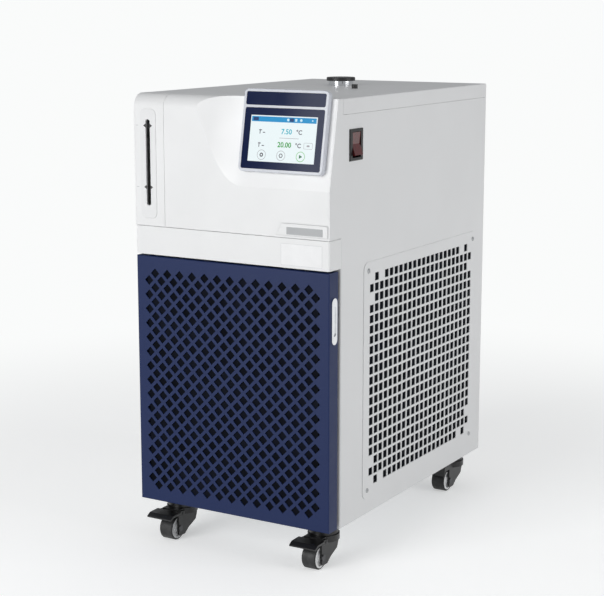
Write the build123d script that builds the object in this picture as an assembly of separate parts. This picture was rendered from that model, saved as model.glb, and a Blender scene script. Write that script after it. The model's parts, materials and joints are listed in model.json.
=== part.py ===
"""Recirculating chiller: a sheet metal cabinet on four swivel casters, with a hinged perforated
door, a moulded front that carries a level gauge and a tilted display, and a filler on top.

Millimetres, +Z up, the front faces -Y, the floor is z = 0 and x = 0 is the cabinet's middle.
Everything is modelled with y = 0 at the door's front face. At the end it all moves by one
amount, so that the origin lies on the floor under the middle of the whole width and depth.
"""

from build123d import *
import os
from math import cos, radians, sin, tan

# Cabinet
width = 360.0
depth = 564.0
body_height = 672.0
floor_gap = 72.0
sheet = 2.0
bend_radius = 3.0
return_width = 20.0
side_front = 36.0
lid_height = 24.0
lid_front = 41.0
lid_gap = 0.4
pan_drop = 2.0
pan_lip = 30.0
rail_inset = 20.0
louvre_length = 160.0
louvre_width = 6.0
louvre_pitch = 14.0
louvre_rows = 14
louvre_rise = 178.0

# Moulded front
wall = 3.0
band_height = 45.8
door_gap = 3.0
seam_gap = 1.0
seam_groove = 4.0
crown_radius = 22.0
lean_drop = 137.0
lean_angle = 10.5
blend_foot = 30.0
blend_crest = 15.0
blend_width = 88.0
blend_radius = 200.0
strip_width = 55.6
side_clearance = 0.1

# Level gauge
gauge_width = 30.4
gauge_height = 174.6
gauge_inset = 24.9
gauge_drop = 111.3
gauge_plate_thickness = 1.5
gauge_pocket = 1.0
gauge_corner = 9.0
gauge_slot_width = 8.5
gauge_slot_height = 138.0
gauge_slot_rise = 1.9
sight_tube_radius = 5.0
sight_tube_bore = 3.5
fitting_size = 16.0

# Display
display_width = 149.5
display_height = 127.0
display_thickness = 10.0
display_corner = 8.0
display_inset = 8.5
display_drop = 114.0
display_rim = 4.6
display_clearance = 0.2
header_height = 20.3
header_divider = 4.0
screen_width = 117.3
screen_height = 70.3
screen_rise = 16.2
overlay_thickness = 1.0
overlay_pocket = 1.2
overlay_clearance = 0.2
overlay_corner = 3.0
display_box = (120.0, 80.0, 26.0)
display_box_drop = 14.0

# Door
door_height = 411.5
door_depth = 27.0
door_edge_radius = 2.0
door_margin = 15.0
diamond_pitch_x = 24.0
diamond_pitch_z = 23.75
diamond_side = 11.6
filter_margin = (20.0, 15.75)
filter_thickness = 3.0
pivot_inset = 6.0
pivot_depth = 21.0
pivot_pin_radius = 2.5
pivot_pin_length = 14.3
pivot_block = 12.0
bracket_clearance = 0.3
pull_width = 16.0
pull_height = 72.5
pull_drop = 75.7
pull_centre_y = 13.5
pull_thickness = 2.0
pull_floor = 0.6
pull_rim = (7.0, 26.0)

# Vent grille on the right side
vent_front = 108.4
vent_rear_inset = 33.4
vent_rise = 23.4
vent_drop = 4.0
vent_thickness = 1.2
vent_corner = 13.0
vent_margin = 17.9
vent_columns = 14
vent_rows = 13
vent_open_share = 0.727
vent_screw_inset = (14.5, 14.0)
vent_screw_radius = 4.0
vent_screw_head = 1.6

# Mains switch
switch_centre_y = 80.1
switch_drop = 71.5
switch_size = (41.4, 49.0)
switch_body = (32.0, 44.0)
switch_depth = 30.0
switch_flange = 2.0
rocker_size = (25.4, 36.4)
rocker_clearance = 0.5
rocker_angle = 8.0
rocker_face = 12.0
rocker_bevel = 0.7
rocker_valley = 8.5
rocker_swing = 3.2
rocker_pin_radius = 2.0
rocker_axis_depth = 8.0

# Filler and vent plug on top
filler_x = -16.0
filler_rear_inset = 181.0
filler_bore = 18.0
filler_outer = 21.5
filler_flange = 28.0
filler_stand = 8.0
filler_clearance = 0.5
cap_radius = 25.0
cap_height = 6.0
cap_plug_clearance = 0.5
cap_plug_depth = 10.0
vent_plug_x = 57.0
vent_plug_ahead = 83.0
vent_plug_radius = 5.0
vent_plug_height = 7.0
vent_plug_stem = (3.0, 8.0)

# Casters
wheel_radius = 20.0
wheel_width = 25.0
tyre_depth = 2.4
tyre_chamfer = 1.5
caster_trail = 30.0
caster_inset = 42.0
front_caster_y = 58.0
rear_caster_inset = 36.0
caster_plate = 64.0
caster_plate_thickness = 4.0
caster_plate_corner = 6.0
swivel_radius = 26.0
swivel_head_radius = 24.0
swivel_gap = 0.3
fork_top = 52.0
hood_thickness = 8.0
wheel_clearance = 2.0
leg_gap = 0.8
leg_thickness = 3.3
kingpin_radius = 5.0
axle_radius = 3.0
axle_head = 1.5
running_clearance = 0.05
pedal_width = 48.0
pedal_reach = 68.0
pedal_pivot = (25.5, 45.0)
pedal_pin_radius = 2.5
pedal_arm = 2.8

# Inside
shelf_rise = 1.5
condenser_front = 54.0
condenser_depth = 46.0
condenser_side_gap = 28.0
condenser_drop = 36.0
slit_margin = 12.0
slit_pitch = 11.6
slit_width = 6.0
slit_depth = 4.0
shroud_depth = 90.0
fan_gap = 5.0
fan_ring_margin = 20.0
fan_hub_radius = 30.0
fan_length = 24.0
fan_blades = 5
fan_blade_pitch = 28.0
fan_blade_size = (44.0, 2.5)
fan_blade_root = 4.0
motor_radius = 35.0
motor_length = 46.0
motor_bar = 4.0
motor_bar_height = 30.0
shaft_radius = 4.0
compressor_radius = 70.0
compressor_height = 182.0
compressor_foot = 8.0
compressor_edge = 12.0
compressor_plate = 4.0
compressor_side_gap = 93.0
compressor_rear_inset = 164.0
tank_side_gap = (38.0, 48.0)
tank_length = 250.0
tank_rear_inset = 64.0
tank_lid_gap = 20.0
tank_wall = 3.0
tank_corner = 12.0
pump_side_gap = 83.0
pump_length = 160.0
pump_head = 60.0
pump_rear_inset = 34.0
pump_radius = 36.0
pump_axis_rise = 46.0
coolant_radius = 7.0
refrigerant_radius = 5.0
pipe_bend = 12.0
pipe_clearance = 1.0
pipe_rise = 22.0
control_width = 110.0
control_length = 150.0
control_height = 135.0
control_side_gap = 38.0
control_front = 70.0

# Rear connections
inlet_side_gap = 118.0
hose_port_rise = 72.0
stub_radius = 8.0
stub_bore = 5.0
stub_length = 24.0
stub_relief = 0.8
stub_relief_length = 2.0
port_clearance = 0.1
port_collar = 9.5
port_flange_radius = 14.0
port_flange = 5.0
port_nut_radius = 12.0
port_nut = 10.0
mains_side_gap = 68.0
mains_rise = 58.0
mains_inlet_size = (50.0, 30.0)
mains_inlet_rim = 3.0
mains_inlet_length = 24.0
mains_cavity = (36.0, 16.0, 15.0)
mains_pin = (2.0, 6.0, 7.0)
mains_pin_pitch = 10.0

# Sizes that follow from the ones above
half = width / 2
inner_half = half - sheet
cabinet_top = floor_gap + body_height
pan_bottom = floor_gap - pan_drop
pan_floor = pan_bottom + sheet
lid_line = cabinet_top - lid_height
door_top = floor_gap + door_height
band_bottom = door_top + door_gap
band_top = band_bottom + band_height
upper_bottom = band_top + seam_gap
shelf_height = band_bottom + shelf_rise
rear_inside = depth - sheet
gauge_seam_x = strip_width - inner_half
gauge_centre_x = gauge_inset - inner_half
gauge_centre_z = cabinet_top - gauge_drop
gauge_slot_z = gauge_centre_z + gauge_slot_rise
lean_start = cabinet_top - lean_drop
lean_left = inner_half - display_inset - display_width
display_centre_x = lean_left + display_width / 2
display_bottom = cabinet_top - display_drop
lean_top_y = lean_drop * tan(radians(lean_angle))
vent_rear = depth - vent_rear_inset
vent_bottom = floor_gap + vent_rise
vent_top = shelf_height - vent_drop
switch_centre_z = cabinet_top - switch_drop
filler_y = depth - filler_rear_inset
vent_plug_y = filler_y - vent_plug_ahead
caster_x = half - caster_inset
rear_caster_y = depth - rear_caster_inset
condenser_width = 2 * (inner_half - condenser_side_gap)
condenser_top = shelf_height - condenser_drop
fan_centre_z = (pan_floor + condenser_top) / 2
fan_ring_radius = condenser_width / 2 - fan_ring_margin
fan_radius = fan_ring_radius - fan_gap
compressor_x = compressor_side_gap - inner_half
compressor_y = depth - compressor_rear_inset
tank_x = (tank_side_gap[0] - inner_half, inner_half - tank_side_gap[1])
tank_y = (depth - tank_rear_inset - tank_length, depth - tank_rear_inset)
tank_top = lid_line - tank_lid_gap
pump_x = inner_half - pump_side_gap
pump_y = (depth - pump_rear_inset - pump_length, depth - pump_rear_inset)
pump_axis_z = pan_floor + pump_axis_rise
outlet_x = pump_x
inlet_x = inlet_side_gap - inner_half
hose_port_z = shelf_height + hose_port_rise
mains_inlet_x = mains_side_gap - inner_half
mains_inlet_z = pan_floor + mains_rise
stub_reach = port_flange + stub_relief_length + stub_length
front_reach = pedal_reach - front_caster_y
rocker_end = rocker_size[1] / 2 - rocker_bevel
rocker_reach = (rocker_face * cos(radians(rocker_angle)) - rocker_axis_depth
                + rocker_end * sin(radians(rocker_angle)))
middle_x = rocker_reach / 2
middle_y = (depth + stub_reach - front_reach) / 2
wheel_gap = wheel_width / 2 + leg_gap
leg_outside = wheel_gap + leg_thickness
lean_normal = (0, -cos(radians(lean_angle)), sin(radians(lean_angle)))
lean_plane = Plane(origin=(lean_left, 0, lean_start), x_dir=(1, 0, 0), z_dir=lean_normal)
big = 4 * width


def block(x, y, z):
    """A box from its (low, high) pairs along X, Y and Z."""
    spans = [high - low for low, high in (x, y, z)]
    centre = [(high + low) / 2 for low, high in (x, y, z)]
    return Pos(*centre) * Box(*spans)


def rod(start, direction, radius, length):
    """A cylinder that starts at a point and runs along a direction."""
    base = Plane(origin=start, z_dir=direction)
    return base * Cylinder(radius, length, align=(Align.CENTER, Align.CENTER, Align.MIN))


def profile(points, x):
    """A (y, z) outline carried along X from the low to the high value."""
    outline = Plane.YZ * Polygon(*points, align=None)
    return Pos(x[0], 0, 0) * extrude(outline, x[1] - x[0], dir=(1, 0, 0))


def edge_near(solid, axis, point):
    """The edge along an axis that lies nearest to a point."""
    return solid.edges().filter_by(axis).sort_by_distance(point)[0]


def upright(y, centre_x, centre_z):
    """A plane facing the front, with its own X along +X and its own Y along +Z."""
    return Plane(origin=(centre_x, y, centre_z), x_dir=(1, 0, 0), z_dir=(0, -1, 0))


# Cabinet

def front_edge(side):
    """The (y, z) line of a side panel's upper front edge, from the top down."""
    if side > 0:
        return [(lean_top_y, cabinet_top), (0, lean_start), (0, upper_bottom)]
    return [(0, cabinet_top), (0, upper_bottom)]


def side_panel(side):
    """A folded channel with a forward extension beside the moulded front."""
    span = (half - return_width, half)
    top = lid_line - lid_gap
    outside = block(span, (side_front, rear_inside), (pan_bottom, top))
    outside = fillet(edge_near(outside, Axis.Z, (half, side_front, pan_bottom)), bend_radius)
    hollow = block((0, inner_half), (side_front + sheet, rear_inside - sheet), (0, top))
    lip = lid_front - lid_gap
    outline = [(side_front + return_width, upper_bottom), (side_front + return_width, top)]
    outline += [(lip, top), (lip, cabinet_top)] + front_edge(side)
    extension = profile(outline, (inner_half, half))
    if side < 0:
        crown = edge_near(extension, Axis.X, (half, 0, cabinet_top))
        extension = fillet(crown, crown_radius)
    rail_y = (lid_front + rail_inset, depth - rail_inset)
    rail_z = (lid_line - return_width, cabinet_top - sheet)
    rail = block((inner_half - sheet, inner_half), rail_y, rail_z)
    panel = outside - hollow + extension + rail
    return panel if side > 0 else mirror(panel, Plane.YZ)


def right_side_panel():
    """The right side panel, open behind the vent grille and at the mains switch."""
    through = (inner_half - 1, half + 1)
    vent = block(
        through,
        (vent_front + vent_margin, vent_rear - vent_margin),
        (vent_bottom + vent_margin, vent_top - vent_margin),
    )
    reach_y, reach_z = switch_body[0] / 2 + lid_gap, switch_body[1] / 2 + lid_gap
    switch = block(
        through,
        (switch_centre_y - reach_y, switch_centre_y + reach_y),
        (switch_centre_z - reach_z, switch_centre_z + reach_z),
    )
    return side_panel(1) - vent - switch


def base_pan():
    """A tray that closes the cabinet below and carries the machinery and the casters."""
    y = (side_front + sheet, rear_inside - sheet)
    tray = block((-inner_half, inner_half), y, (pan_bottom, pan_bottom + pan_lip))
    inner_x = (-inner_half + sheet, inner_half - sheet)
    return tray - block(inner_x, (y[0] + sheet, y[1] - sheet), (pan_floor, cabinet_top))


def mid_shelf():
    """A shelf between the side panels, with its edges turned down and holes for the pipes."""
    y = (side_front + sheet, rear_inside - sheet)
    shelf = block((-inner_half, inner_half), y, (shelf_height - return_width, shelf_height + sheet))
    inner_x = (-inner_half + sheet, inner_half - sheet)
    shelf -= block(inner_x, y, (0, shelf_height))
    for x, y, radius in pipe_passages():
        shelf -= rod((x, y, shelf_height - 1), (0, 0, 1), radius + pipe_clearance, sheet + 2)
    return shelf


def rear_panel():
    """The flat rear sheet with louvre slots and openings for the connections."""
    panel = block((-half, half), (rear_inside, depth), (pan_bottom, lid_line - lid_gap))
    face = upright(rear_inside - 1, 0, floor_gap + louvre_rise)
    slot = extrude(face * SlotOverall(louvre_length, louvre_width), -sheet - 2)
    panel -= [Pos(0, 0, louvre_pitch * row) * slot for row in range(louvre_rows)]
    for x, z in port_places():
        panel -= rod((x, rear_inside - 1, z), (0, 1, 0), port_collar + port_clearance, sheet + 2)
    hole = [size / 2 - mains_inlet_rim + lid_gap for size in mains_inlet_size]
    panel -= block(
        (mains_inlet_x - hole[0], mains_inlet_x + hole[0]),
        (rear_inside - 1, depth + 1),
        (mains_inlet_z - hole[1], mains_inlet_z + hole[1]),
    )
    return panel


def top_cover():
    """A shallow lid with turned-down edges and openings for the filler and the vent plug."""
    outside = block((-half, half), (lid_front, depth), (lid_line, cabinet_top))
    rims = [edge for edge in outside.faces().sort_by(Axis.Z)[-1].edges()]
    outside = fillet(rims, sheet)
    y = (lid_front + sheet, depth - sheet)
    cover = outside - block((-inner_half, inner_half), y, (0, cabinet_top - sheet))
    hole = filler_outer + filler_clearance
    cover -= rod((filler_x, filler_y, lid_line), (0, 0, 1), hole, lid_height + 1)
    stem = vent_plug_radius - 2 + lid_gap
    return cover - rod((vent_plug_x, vent_plug_y, lid_line), (0, 0, 1), stem, lid_height + 1)


# Moulded front

def in_front_of(plane, depth_in):
    """Everything on the outer side of a plane that is first moved in by a depth."""
    moved = plane.offset(-depth_in)
    return moved * Box(big, big, big, align=(Align.CENTER, Align.CENTER, Align.MIN))


def lean_cut(depth_in):
    """The wedge that turns the upright front into the leaned field.

    Left of the display a second plane runs back up to the front, and a wide rounding blends
    the two, so that the field is dished.
    """
    foot = Vector(lean_left - blend_foot, 0, lean_start)
    crest = Vector(lean_left - blend_crest, lean_top_y, cabinet_top)
    shoulder = Vector(lean_left - blend_width, 0, cabinet_top)
    normal = (crest - foot).cross(shoulder - foot).normalized()
    blend_plane = Plane(origin=foot, z_dir=normal)
    wedge = in_front_of(lean_plane, depth_in) & in_front_of(blend_plane, depth_in)
    corner = wedge.edges().sort_by_distance((foot + crest) * 0.5)[0]
    return fillet(corner, blend_radius + depth_in)


def crowned(x, y, z):
    """An upright block whose upper front edge is rounded to the crown radius."""
    solid = block(x, (y, side_front), z)
    radius = crown_radius - y
    return fillet(edge_near(solid, Axis.X, ((x[0] + x[1]) / 2, y, z[1])), radius)


def front_shell(x):
    """The upright moulded shell between two x values, with its seam groove and rear lip."""
    shell = crowned(x, 0, (band_top, cabinet_top))
    lip = (cabinet_top - wall, cabinet_top)
    shell += block(x, (crown_radius, lid_front - lid_gap), lip)
    return shell - block((-big, big), (-1, seam_groove), (0, upper_bottom))


def front_hollow(x):
    """The space inside the moulded shell, open at the back."""
    inner = (x[0] + wall, x[1] - wall)
    return crowned(inner, wall, (upper_bottom + wall, cabinet_top - wall))


def front_moulding():
    """The main moulded front with the leaned field and the display's opening."""
    x = (gauge_seam_x + seam_gap / 4, inner_half - side_clearance)
    shell = front_shell(x) - lean_cut(0)
    shell -= front_hollow(x) - lean_cut(wall)
    opening = [size + 2 * lid_gap for size in display_box[:2]]
    window = display_plane() * Pos(0, -display_box_drop) * Box(opening[0], opening[1], 4 * wall)
    return shell - window - display_case(display_clearance)


def gauge_strip():
    """The narrow left part of the moulded front, with a pocket and slot for the gauge."""
    x = (-inner_half + side_clearance, gauge_seam_x - seam_gap / 4)
    strip = front_shell(x) - front_hollow(x)
    pocket = rounded_plate(gauge_plane(), lid_gap / 2, -gauge_pocket)
    return strip - pocket - gauge_slot()


def gauge_plane():
    return upright(0, gauge_centre_x, gauge_centre_z)


def rounded_plate(plane, grow, thickness):
    """The gauge plate's outline, grown a little and given a thickness."""
    size = (gauge_width + 2 * grow, gauge_height + 2 * grow)
    return extrude(plane * RectangleRounded(*size, gauge_corner + grow), thickness)


def gauge_slot():
    """The upright slot through which the sight tube shows."""
    face = upright(-wall, gauge_centre_x, gauge_slot_z)
    slot = face * SlotOverall(gauge_slot_height, gauge_slot_width, rotation=90)
    return extrude(slot, -3 * wall)


def gauge_plate():
    """A slotted plate in the strip's pocket, standing a little proud."""
    seat = gauge_plane().offset(-gauge_pocket)
    return rounded_plate(seat, 0, gauge_plate_thickness) - gauge_slot()


def fitting_levels():
    """The heights at which the sight tube's two fittings end."""
    reach = gauge_slot_height / 2 + 2
    return gauge_slot_z - reach, gauge_slot_z + reach


def sight_tube():
    """The clear level tube between its two fittings."""
    low, high = fitting_levels()
    start = (gauge_centre_x, wall + fitting_size / 2, low)
    tube = rod(start, (0, 0, 1), sight_tube_radius, high - low)
    return tube - rod(start, (0, 0, 1), sight_tube_bore, high - low)


def sight_tube_fittings():
    """Two blocks on the back of the strip that hold the tube's ends."""
    low, high = fitting_levels()
    x = (gauge_centre_x - fitting_size / 2, gauge_centre_x + fitting_size / 2)
    y = (wall, wall + fitting_size)
    return [block(x, y, (low - fitting_size, low)), block(x, y, (high, high + fitting_size / 2))]


def front_band():
    """The narrow hollow band between the door and the moulded front."""
    outside = block((-half, half), (0, side_front), (band_bottom, band_top))
    corners = [edge_near(outside, Axis.Z, (x, 0, band_top)) for x in (-half, half)]
    outside = fillet(corners, bend_radius)
    inner_z = (band_bottom + wall, band_top - wall)
    return outside - block((-half + wall, half - wall), (wall, side_front), inner_z)


# Display

def display_plane():
    """The plane of the leaned field, centred behind the display."""
    rise = display_bottom - lean_start + display_height / 2 * cos(radians(lean_angle))
    origin = (display_centre_x, rise * tan(radians(lean_angle)), lean_start + rise)
    return Plane(origin=origin, x_dir=(1, 0, 0), z_dir=lean_normal)


def on_display(low, high, height, radius=0.0, grow=0.0):
    """A rectangle on the display's front, from a low to a high level above its bottom edge."""
    span = display_width - 2 * display_rim + 2 * grow
    middle = (low + high - display_height) / 2
    plane = display_plane().offset(height)
    shape = RectangleRounded(span, high - low + 2 * grow, radius) if radius else (
        Rectangle(span, high - low + 2 * grow))
    return plane * Pos(0, middle) * shape


def header_levels():
    top = display_height - display_rim
    return top - header_height, top


def bezel_levels():
    return display_rim, header_levels()[0] - header_divider


def display_case(grow):
    """The block of the display's case, which stands on the leaned field."""
    outline = RectangleRounded(display_width + 2 * grow, display_height + 2 * grow, display_corner)
    return extrude(display_plane() * outline, display_thickness)


def display_housing():
    """The rounded display case with two shallow pockets, and its body behind the front."""
    case = display_case(0)
    front_rim = case.faces().sort_by(lambda face: face.center().dot(Vector(*lean_normal)))[-1]
    case = fillet(front_rim.edges(), display_rim / 4)
    behind = (Align.CENTER, Align.CENTER, Align.MAX)
    case += display_plane() * Pos(0, -display_box_drop) * Box(*display_box, align=behind)
    for low, high in (header_levels(), bezel_levels()):
        pocket_floor = display_thickness - overlay_pocket
        floor = on_display(low, high, pocket_floor, overlay_corner, overlay_clearance)
        case -= extrude(floor, overlay_pocket + 1)
    return case


def display_header():
    """The plain plate above the divider."""
    return extrude(on_display(*header_levels(), display_thickness - overlay_pocket, overlay_corner),
                   overlay_thickness)


def screen_outline(grow):
    """The screen's rectangle, in the plane of the pockets' floor."""
    middle = screen_rise + (screen_height - display_height) / 2
    plane = display_plane().offset(display_thickness - overlay_pocket)
    return plane * Pos(0, middle) * Rectangle(screen_width + 2 * grow, screen_height + 2 * grow)


def display_bezel():
    """The frame round the screen."""
    plate = extrude(on_display(*bezel_levels(), display_thickness - overlay_pocket, overlay_corner),
                    overlay_thickness)
    return plate - extrude(screen_outline(overlay_clearance), 2 * overlay_thickness)


def display_screen():
    """The touch screen in the bezel's opening."""
    return extrude(screen_outline(0), overlay_thickness)


# Door

def pivot_axis():
    """The x and y of the door's upright hinge axis."""
    return -half + pivot_inset, pivot_depth


def diamond_places():
    """Centres of the diamond holes: full rows and, between them, rows with one hole more."""
    columns = int((width - 2 * door_margin) / diamond_pitch_x)
    rows = int((door_height - 2 * door_margin) / diamond_pitch_z)
    full = GridLocations(diamond_pitch_x, diamond_pitch_z, columns, rows)
    between = GridLocations(diamond_pitch_x, diamond_pitch_z, columns + 1, rows - 1)
    return list(full) + list(between)


def door_skin():
    """A folded door with a field of diamond holes and two pivot blocks behind its left edge."""
    outside = block((-half, half), (0, door_depth), (floor_gap, door_top))
    outside = fillet(outside.faces().sort_by(Axis.Y)[0].edges(), door_edge_radius)
    inner_z = (floor_gap + sheet, door_top - sheet)
    skin = outside - block((-inner_half, inner_half), (sheet, door_depth), inner_z)
    face = upright(-1, 0, (floor_gap + door_top) / 2)
    hole = extrude(Rectangle(diamond_side, diamond_side, rotation=45), -sheet - 2)
    skin -= [face.location * place * hole for place in diamond_places()]
    x, y = pivot_axis()
    block_x = (-inner_half, x + pivot_block / 2)
    block_y = (y - pivot_block / 2, door_depth)
    for z in ((inner_z[0], inner_z[0] + pivot_block), (inner_z[1] - pivot_block, inner_z[1])):
        skin += block(block_x, block_y, z)
    bore = pivot_pin_radius + running_clearance
    reach = sheet + pivot_block + 2
    skin -= rod((x, y, floor_gap - 1), (0, 0, 1), bore, reach)
    return skin - rod((x, y, door_top + 1), (0, 0, -1), bore, reach)


def door_filter():
    """The fine dark mesh pad behind the door's holes."""
    x = half - filter_margin[0]
    z = (floor_gap + filter_margin[1], door_top - filter_margin[1])
    return block((-x, x), (sheet, sheet + filter_thickness), z)


def door_hinges():
    """Two brackets, one above and one below the door, each with its pin."""
    x, y = pivot_axis()
    arm_x = (-half, x + pivot_inset + 2)
    arm_y = (y - pivot_block / 2 - 1, side_front)
    low_z = (pan_bottom, floor_gap - bracket_clearance)
    high_z = (door_top + bracket_clearance, band_bottom)
    lower = block(arm_x, arm_y, low_z)
    lower += rod((x, y, low_z[1]), (0, 0, 1), pivot_pin_radius, pivot_pin_length)
    upper = block(arm_x, arm_y, high_z)
    upper += rod((x, y, high_z[0]), (0, 0, -1), pivot_pin_radius, pivot_pin_length)
    return [lower, upper]


def door_pull():
    """A capsule plate on the door's right flange, hollowed for the fingers."""
    centre = (half, pull_centre_y, door_top - pull_drop)
    face = Plane(origin=centre, x_dir=(0, 1, 0), z_dir=(1, 0, 0))
    plate = extrude(face * SlotOverall(pull_height, pull_width, rotation=90), pull_thickness)
    size = (pull_height - pull_rim[1], pull_width - pull_rim[0])
    grip = face.offset(pull_floor) * SlotOverall(*size, rotation=90)
    return plate - extrude(grip, pull_thickness)


# Vent grille

def vent_outline():
    """The grille's sheet with its four round corners."""
    y, z = (vent_front, vent_rear), (vent_bottom, vent_top)
    plate = block((half, half + vent_thickness), y, z)
    return fillet(plate.edges().filter_by(Axis.X), vent_corner)


def vent_grille():
    """A screwed-on sheet with a field of square holes, none in its four corners."""
    field = (vent_rear - vent_front - 2 * vent_margin, vent_top - vent_bottom - 2 * vent_margin)
    pitch = [size / count for size, count in zip(field, (vent_columns, vent_rows))]
    opening = [step * vent_open_share for step in pitch]
    centre = ((vent_front + vent_rear) / 2, (vent_bottom + vent_top) / 2)
    face = Plane(origin=(half - 1, *centre), x_dir=(0, 1, 0), z_dir=(1, 0, 0))
    hole = extrude(Rectangle(*opening), vent_thickness + 2)
    middle_column, middle_row = (vent_columns - 1) / 2, (vent_rows - 1) / 2
    corner = middle_column * pitch[0] + middle_row * pitch[1] - 1
    places = [place for place in GridLocations(*pitch, vent_columns, vent_rows)
              if abs(place.position.X) + abs(place.position.Y) < corner]
    return vent_outline() - [face.location * place * hole for place in places]


def vent_screws():
    """The grille's four flat screws."""
    y = (vent_front + vent_screw_inset[0], vent_rear - vent_screw_inset[0])
    z = (vent_bottom + vent_screw_inset[1], vent_top - vent_screw_inset[1])
    face = half + vent_thickness
    return [rod((face, a, b), (1, 0, 0), vent_screw_radius, vent_screw_head)
            for a in y for b in z]


# Mains switch

def switch_axis_x():
    return half - rocker_axis_depth


def switch_bezel():
    """The switch frame with its body behind the panel and a pocket for the rocker."""
    def section(size, x):
        y = (switch_centre_y - size[0] / 2, switch_centre_y + size[0] / 2)
        z = (switch_centre_z - size[1] / 2, switch_centre_z + size[1] / 2)
        return block(x, y, z)

    outer_face = half + switch_flange
    frame = section(switch_size, (half, outer_face))
    frame = chamfer(frame.faces().sort_by(Axis.X)[-1].edges(), switch_flange / 2)
    frame += section(switch_body, (half - switch_depth, half))
    swing = rocker_size[1] + rocker_swing
    pocket = (rocker_size[0] + 2 * rocker_clearance, swing)
    frame -= section(pocket, (half - switch_depth / 2 - 3, outer_face + 1))
    return frame - rocker_pin(rocker_pin_radius + running_clearance)


def rocker_pin(radius):
    """The rocker's pivot, also used with clearance for its two bearings."""
    length = switch_body[0] - 2
    start = (switch_axis_x(), switch_centre_y - length / 2, switch_centre_z)
    return rod(start, (0, 1, 0), radius, length)


def switch_rocker():
    """A two-faced rocker, resting with its upper end pressed in."""
    end = rocker_size[1] / 2
    outline = [(rocker_valley, 0), (rocker_face, rocker_end), (9, end), (-3, 6), (-3, -6), (9, -end),
               (rocker_face, -rocker_end)]
    face = Plane(origin=(switch_axis_x(), switch_centre_y + rocker_size[0] / 2, switch_centre_z),
                 x_dir=(1, 0, 0), z_dir=(0, -1, 0))
    turned = face * Rot(0, 0, rocker_angle) * Polygon(*outline, align=None)
    return extrude(turned, rocker_size[0], dir=(0, -1, 0)) + rocker_pin(rocker_pin_radius)


# Filler and vent plug

def filler_neck():
    """The flanged neck that stands on the tank and comes out through the cover."""
    rim = cabinet_top + filler_stand
    foot = (filler_x, filler_y, tank_top)
    neck = rod(foot, (0, 0, 1), filler_outer, rim - tank_top)
    neck += rod(foot, (0, 0, 1), filler_flange, tank_wall)
    return neck - rod(foot, (0, 0, 1), filler_bore, rim - tank_top)


def filler_cap():
    """A flat cap with a plug that hangs in the neck."""
    rim = (filler_x, filler_y, cabinet_top + filler_stand)
    disc = rod(rim, (0, 0, 1), cap_radius, cap_height)
    disc = chamfer(disc.faces().sort_by(Axis.Z)[-1].edges(), 1)
    return disc + rod(rim, (0, 0, -1), filler_bore - cap_plug_clearance, cap_plug_depth)


def vent_plug():
    """The small breather plug beside the filler."""
    seat = (vent_plug_x, vent_plug_y, cabinet_top)
    head = rod(seat, (0, 0, 1), vent_plug_radius, vent_plug_height)
    return head + rod(seat, (0, 0, -1), *vent_plug_stem)


# Casters

def caster_places():
    """Each caster's name and the x and y of its swivel axis."""
    return {
        "front_left": (-caster_x, front_caster_y),
        "front_right": (caster_x, front_caster_y),
        "rear_left": (-caster_x, rear_caster_y),
        "rear_right": (caster_x, rear_caster_y),
    }


def caster_mount(x, y):
    """The top plate with its swivel head and kingpin, fixed under the base pan."""
    reach = caster_plate / 2
    plate = block((x - reach, x + reach), (y - reach, y + reach),
                  (pan_bottom - caster_plate_thickness, pan_bottom))
    plate = fillet(plate.edges().filter_by(Axis.Z), caster_plate_corner)
    head_bottom = fork_top + swivel_gap
    underside = pan_bottom - caster_plate_thickness
    plate += rod((x, y, head_bottom), (0, 0, 1), swivel_head_radius, underside - head_bottom)
    pin = hood_thickness + swivel_gap
    return plate + rod((x, y, head_bottom), (0, 0, -1), kingpin_radius, pin)


def leg_outline():
    """A fork leg in (distance ahead of the swivel axis, height)."""
    foot = wheel_radius - 13
    return [(-19, fork_top), (-19, 34), (-15, 24), (6, 15), (17, foot),
            (caster_trail + 1, foot), (caster_trail + 4, foot + 3), (caster_trail + 4, fork_top)]


def caster_fork(x, y, braked):
    """The moulded fork: swivel disc, hood over the wheel and two legs."""
    hood_low = wheel_radius * 2 + wheel_clearance
    fork = rod((x, y, hood_low), (0, 0, 1), swivel_radius, fork_top - hood_low)
    span = (x - leg_outside, x + leg_outside)
    legs = profile([(y - ahead, z) for ahead, z in leg_outline()], span)
    fork += legs
    reach = caster_trail + (4 if braked else wheel_radius + 4)
    fork += block(span, (y - reach, y), (hood_low, fork_top - 1))
    inside = (x - wheel_gap, x + wheel_gap)
    fork -= block(inside, (y - reach - 1, y + 40), (0, hood_low))
    if not braked:
        fork += block(span, (y - reach, y - reach + 2.4), (33, fork_top - 1))
    fork -= rod((x, y, 0), (0, 0, 1), kingpin_radius + running_clearance, fork_top + 1)
    hub = (x - big, y - caster_trail, wheel_radius)
    fork -= rod(hub, (1, 0, 0), axle_radius + running_clearance, 2 * big)
    if braked:
        start = (x - leg_outside - pedal_arm - 1, y - pedal_pivot[0], pedal_pivot[1])
        fork += rod(start, (1, 0, 0), pedal_pin_radius, 2 * (leg_outside + pedal_arm + 1))
    return fork


def caster_axle(x, y):
    """The axle with a flat head outside each leg."""
    centre_y = y - caster_trail
    left_end = (x - leg_outside - axle_head, centre_y, wheel_radius)
    axle = rod(left_end, (1, 0, 0), axle_radius, 2 * (leg_outside + axle_head))
    for start_x in (x - leg_outside - axle_head, x + leg_outside):
        axle += rod((start_x, centre_y, wheel_radius), (1, 0, 0), axle_radius + 2, axle_head)
    return axle


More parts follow.
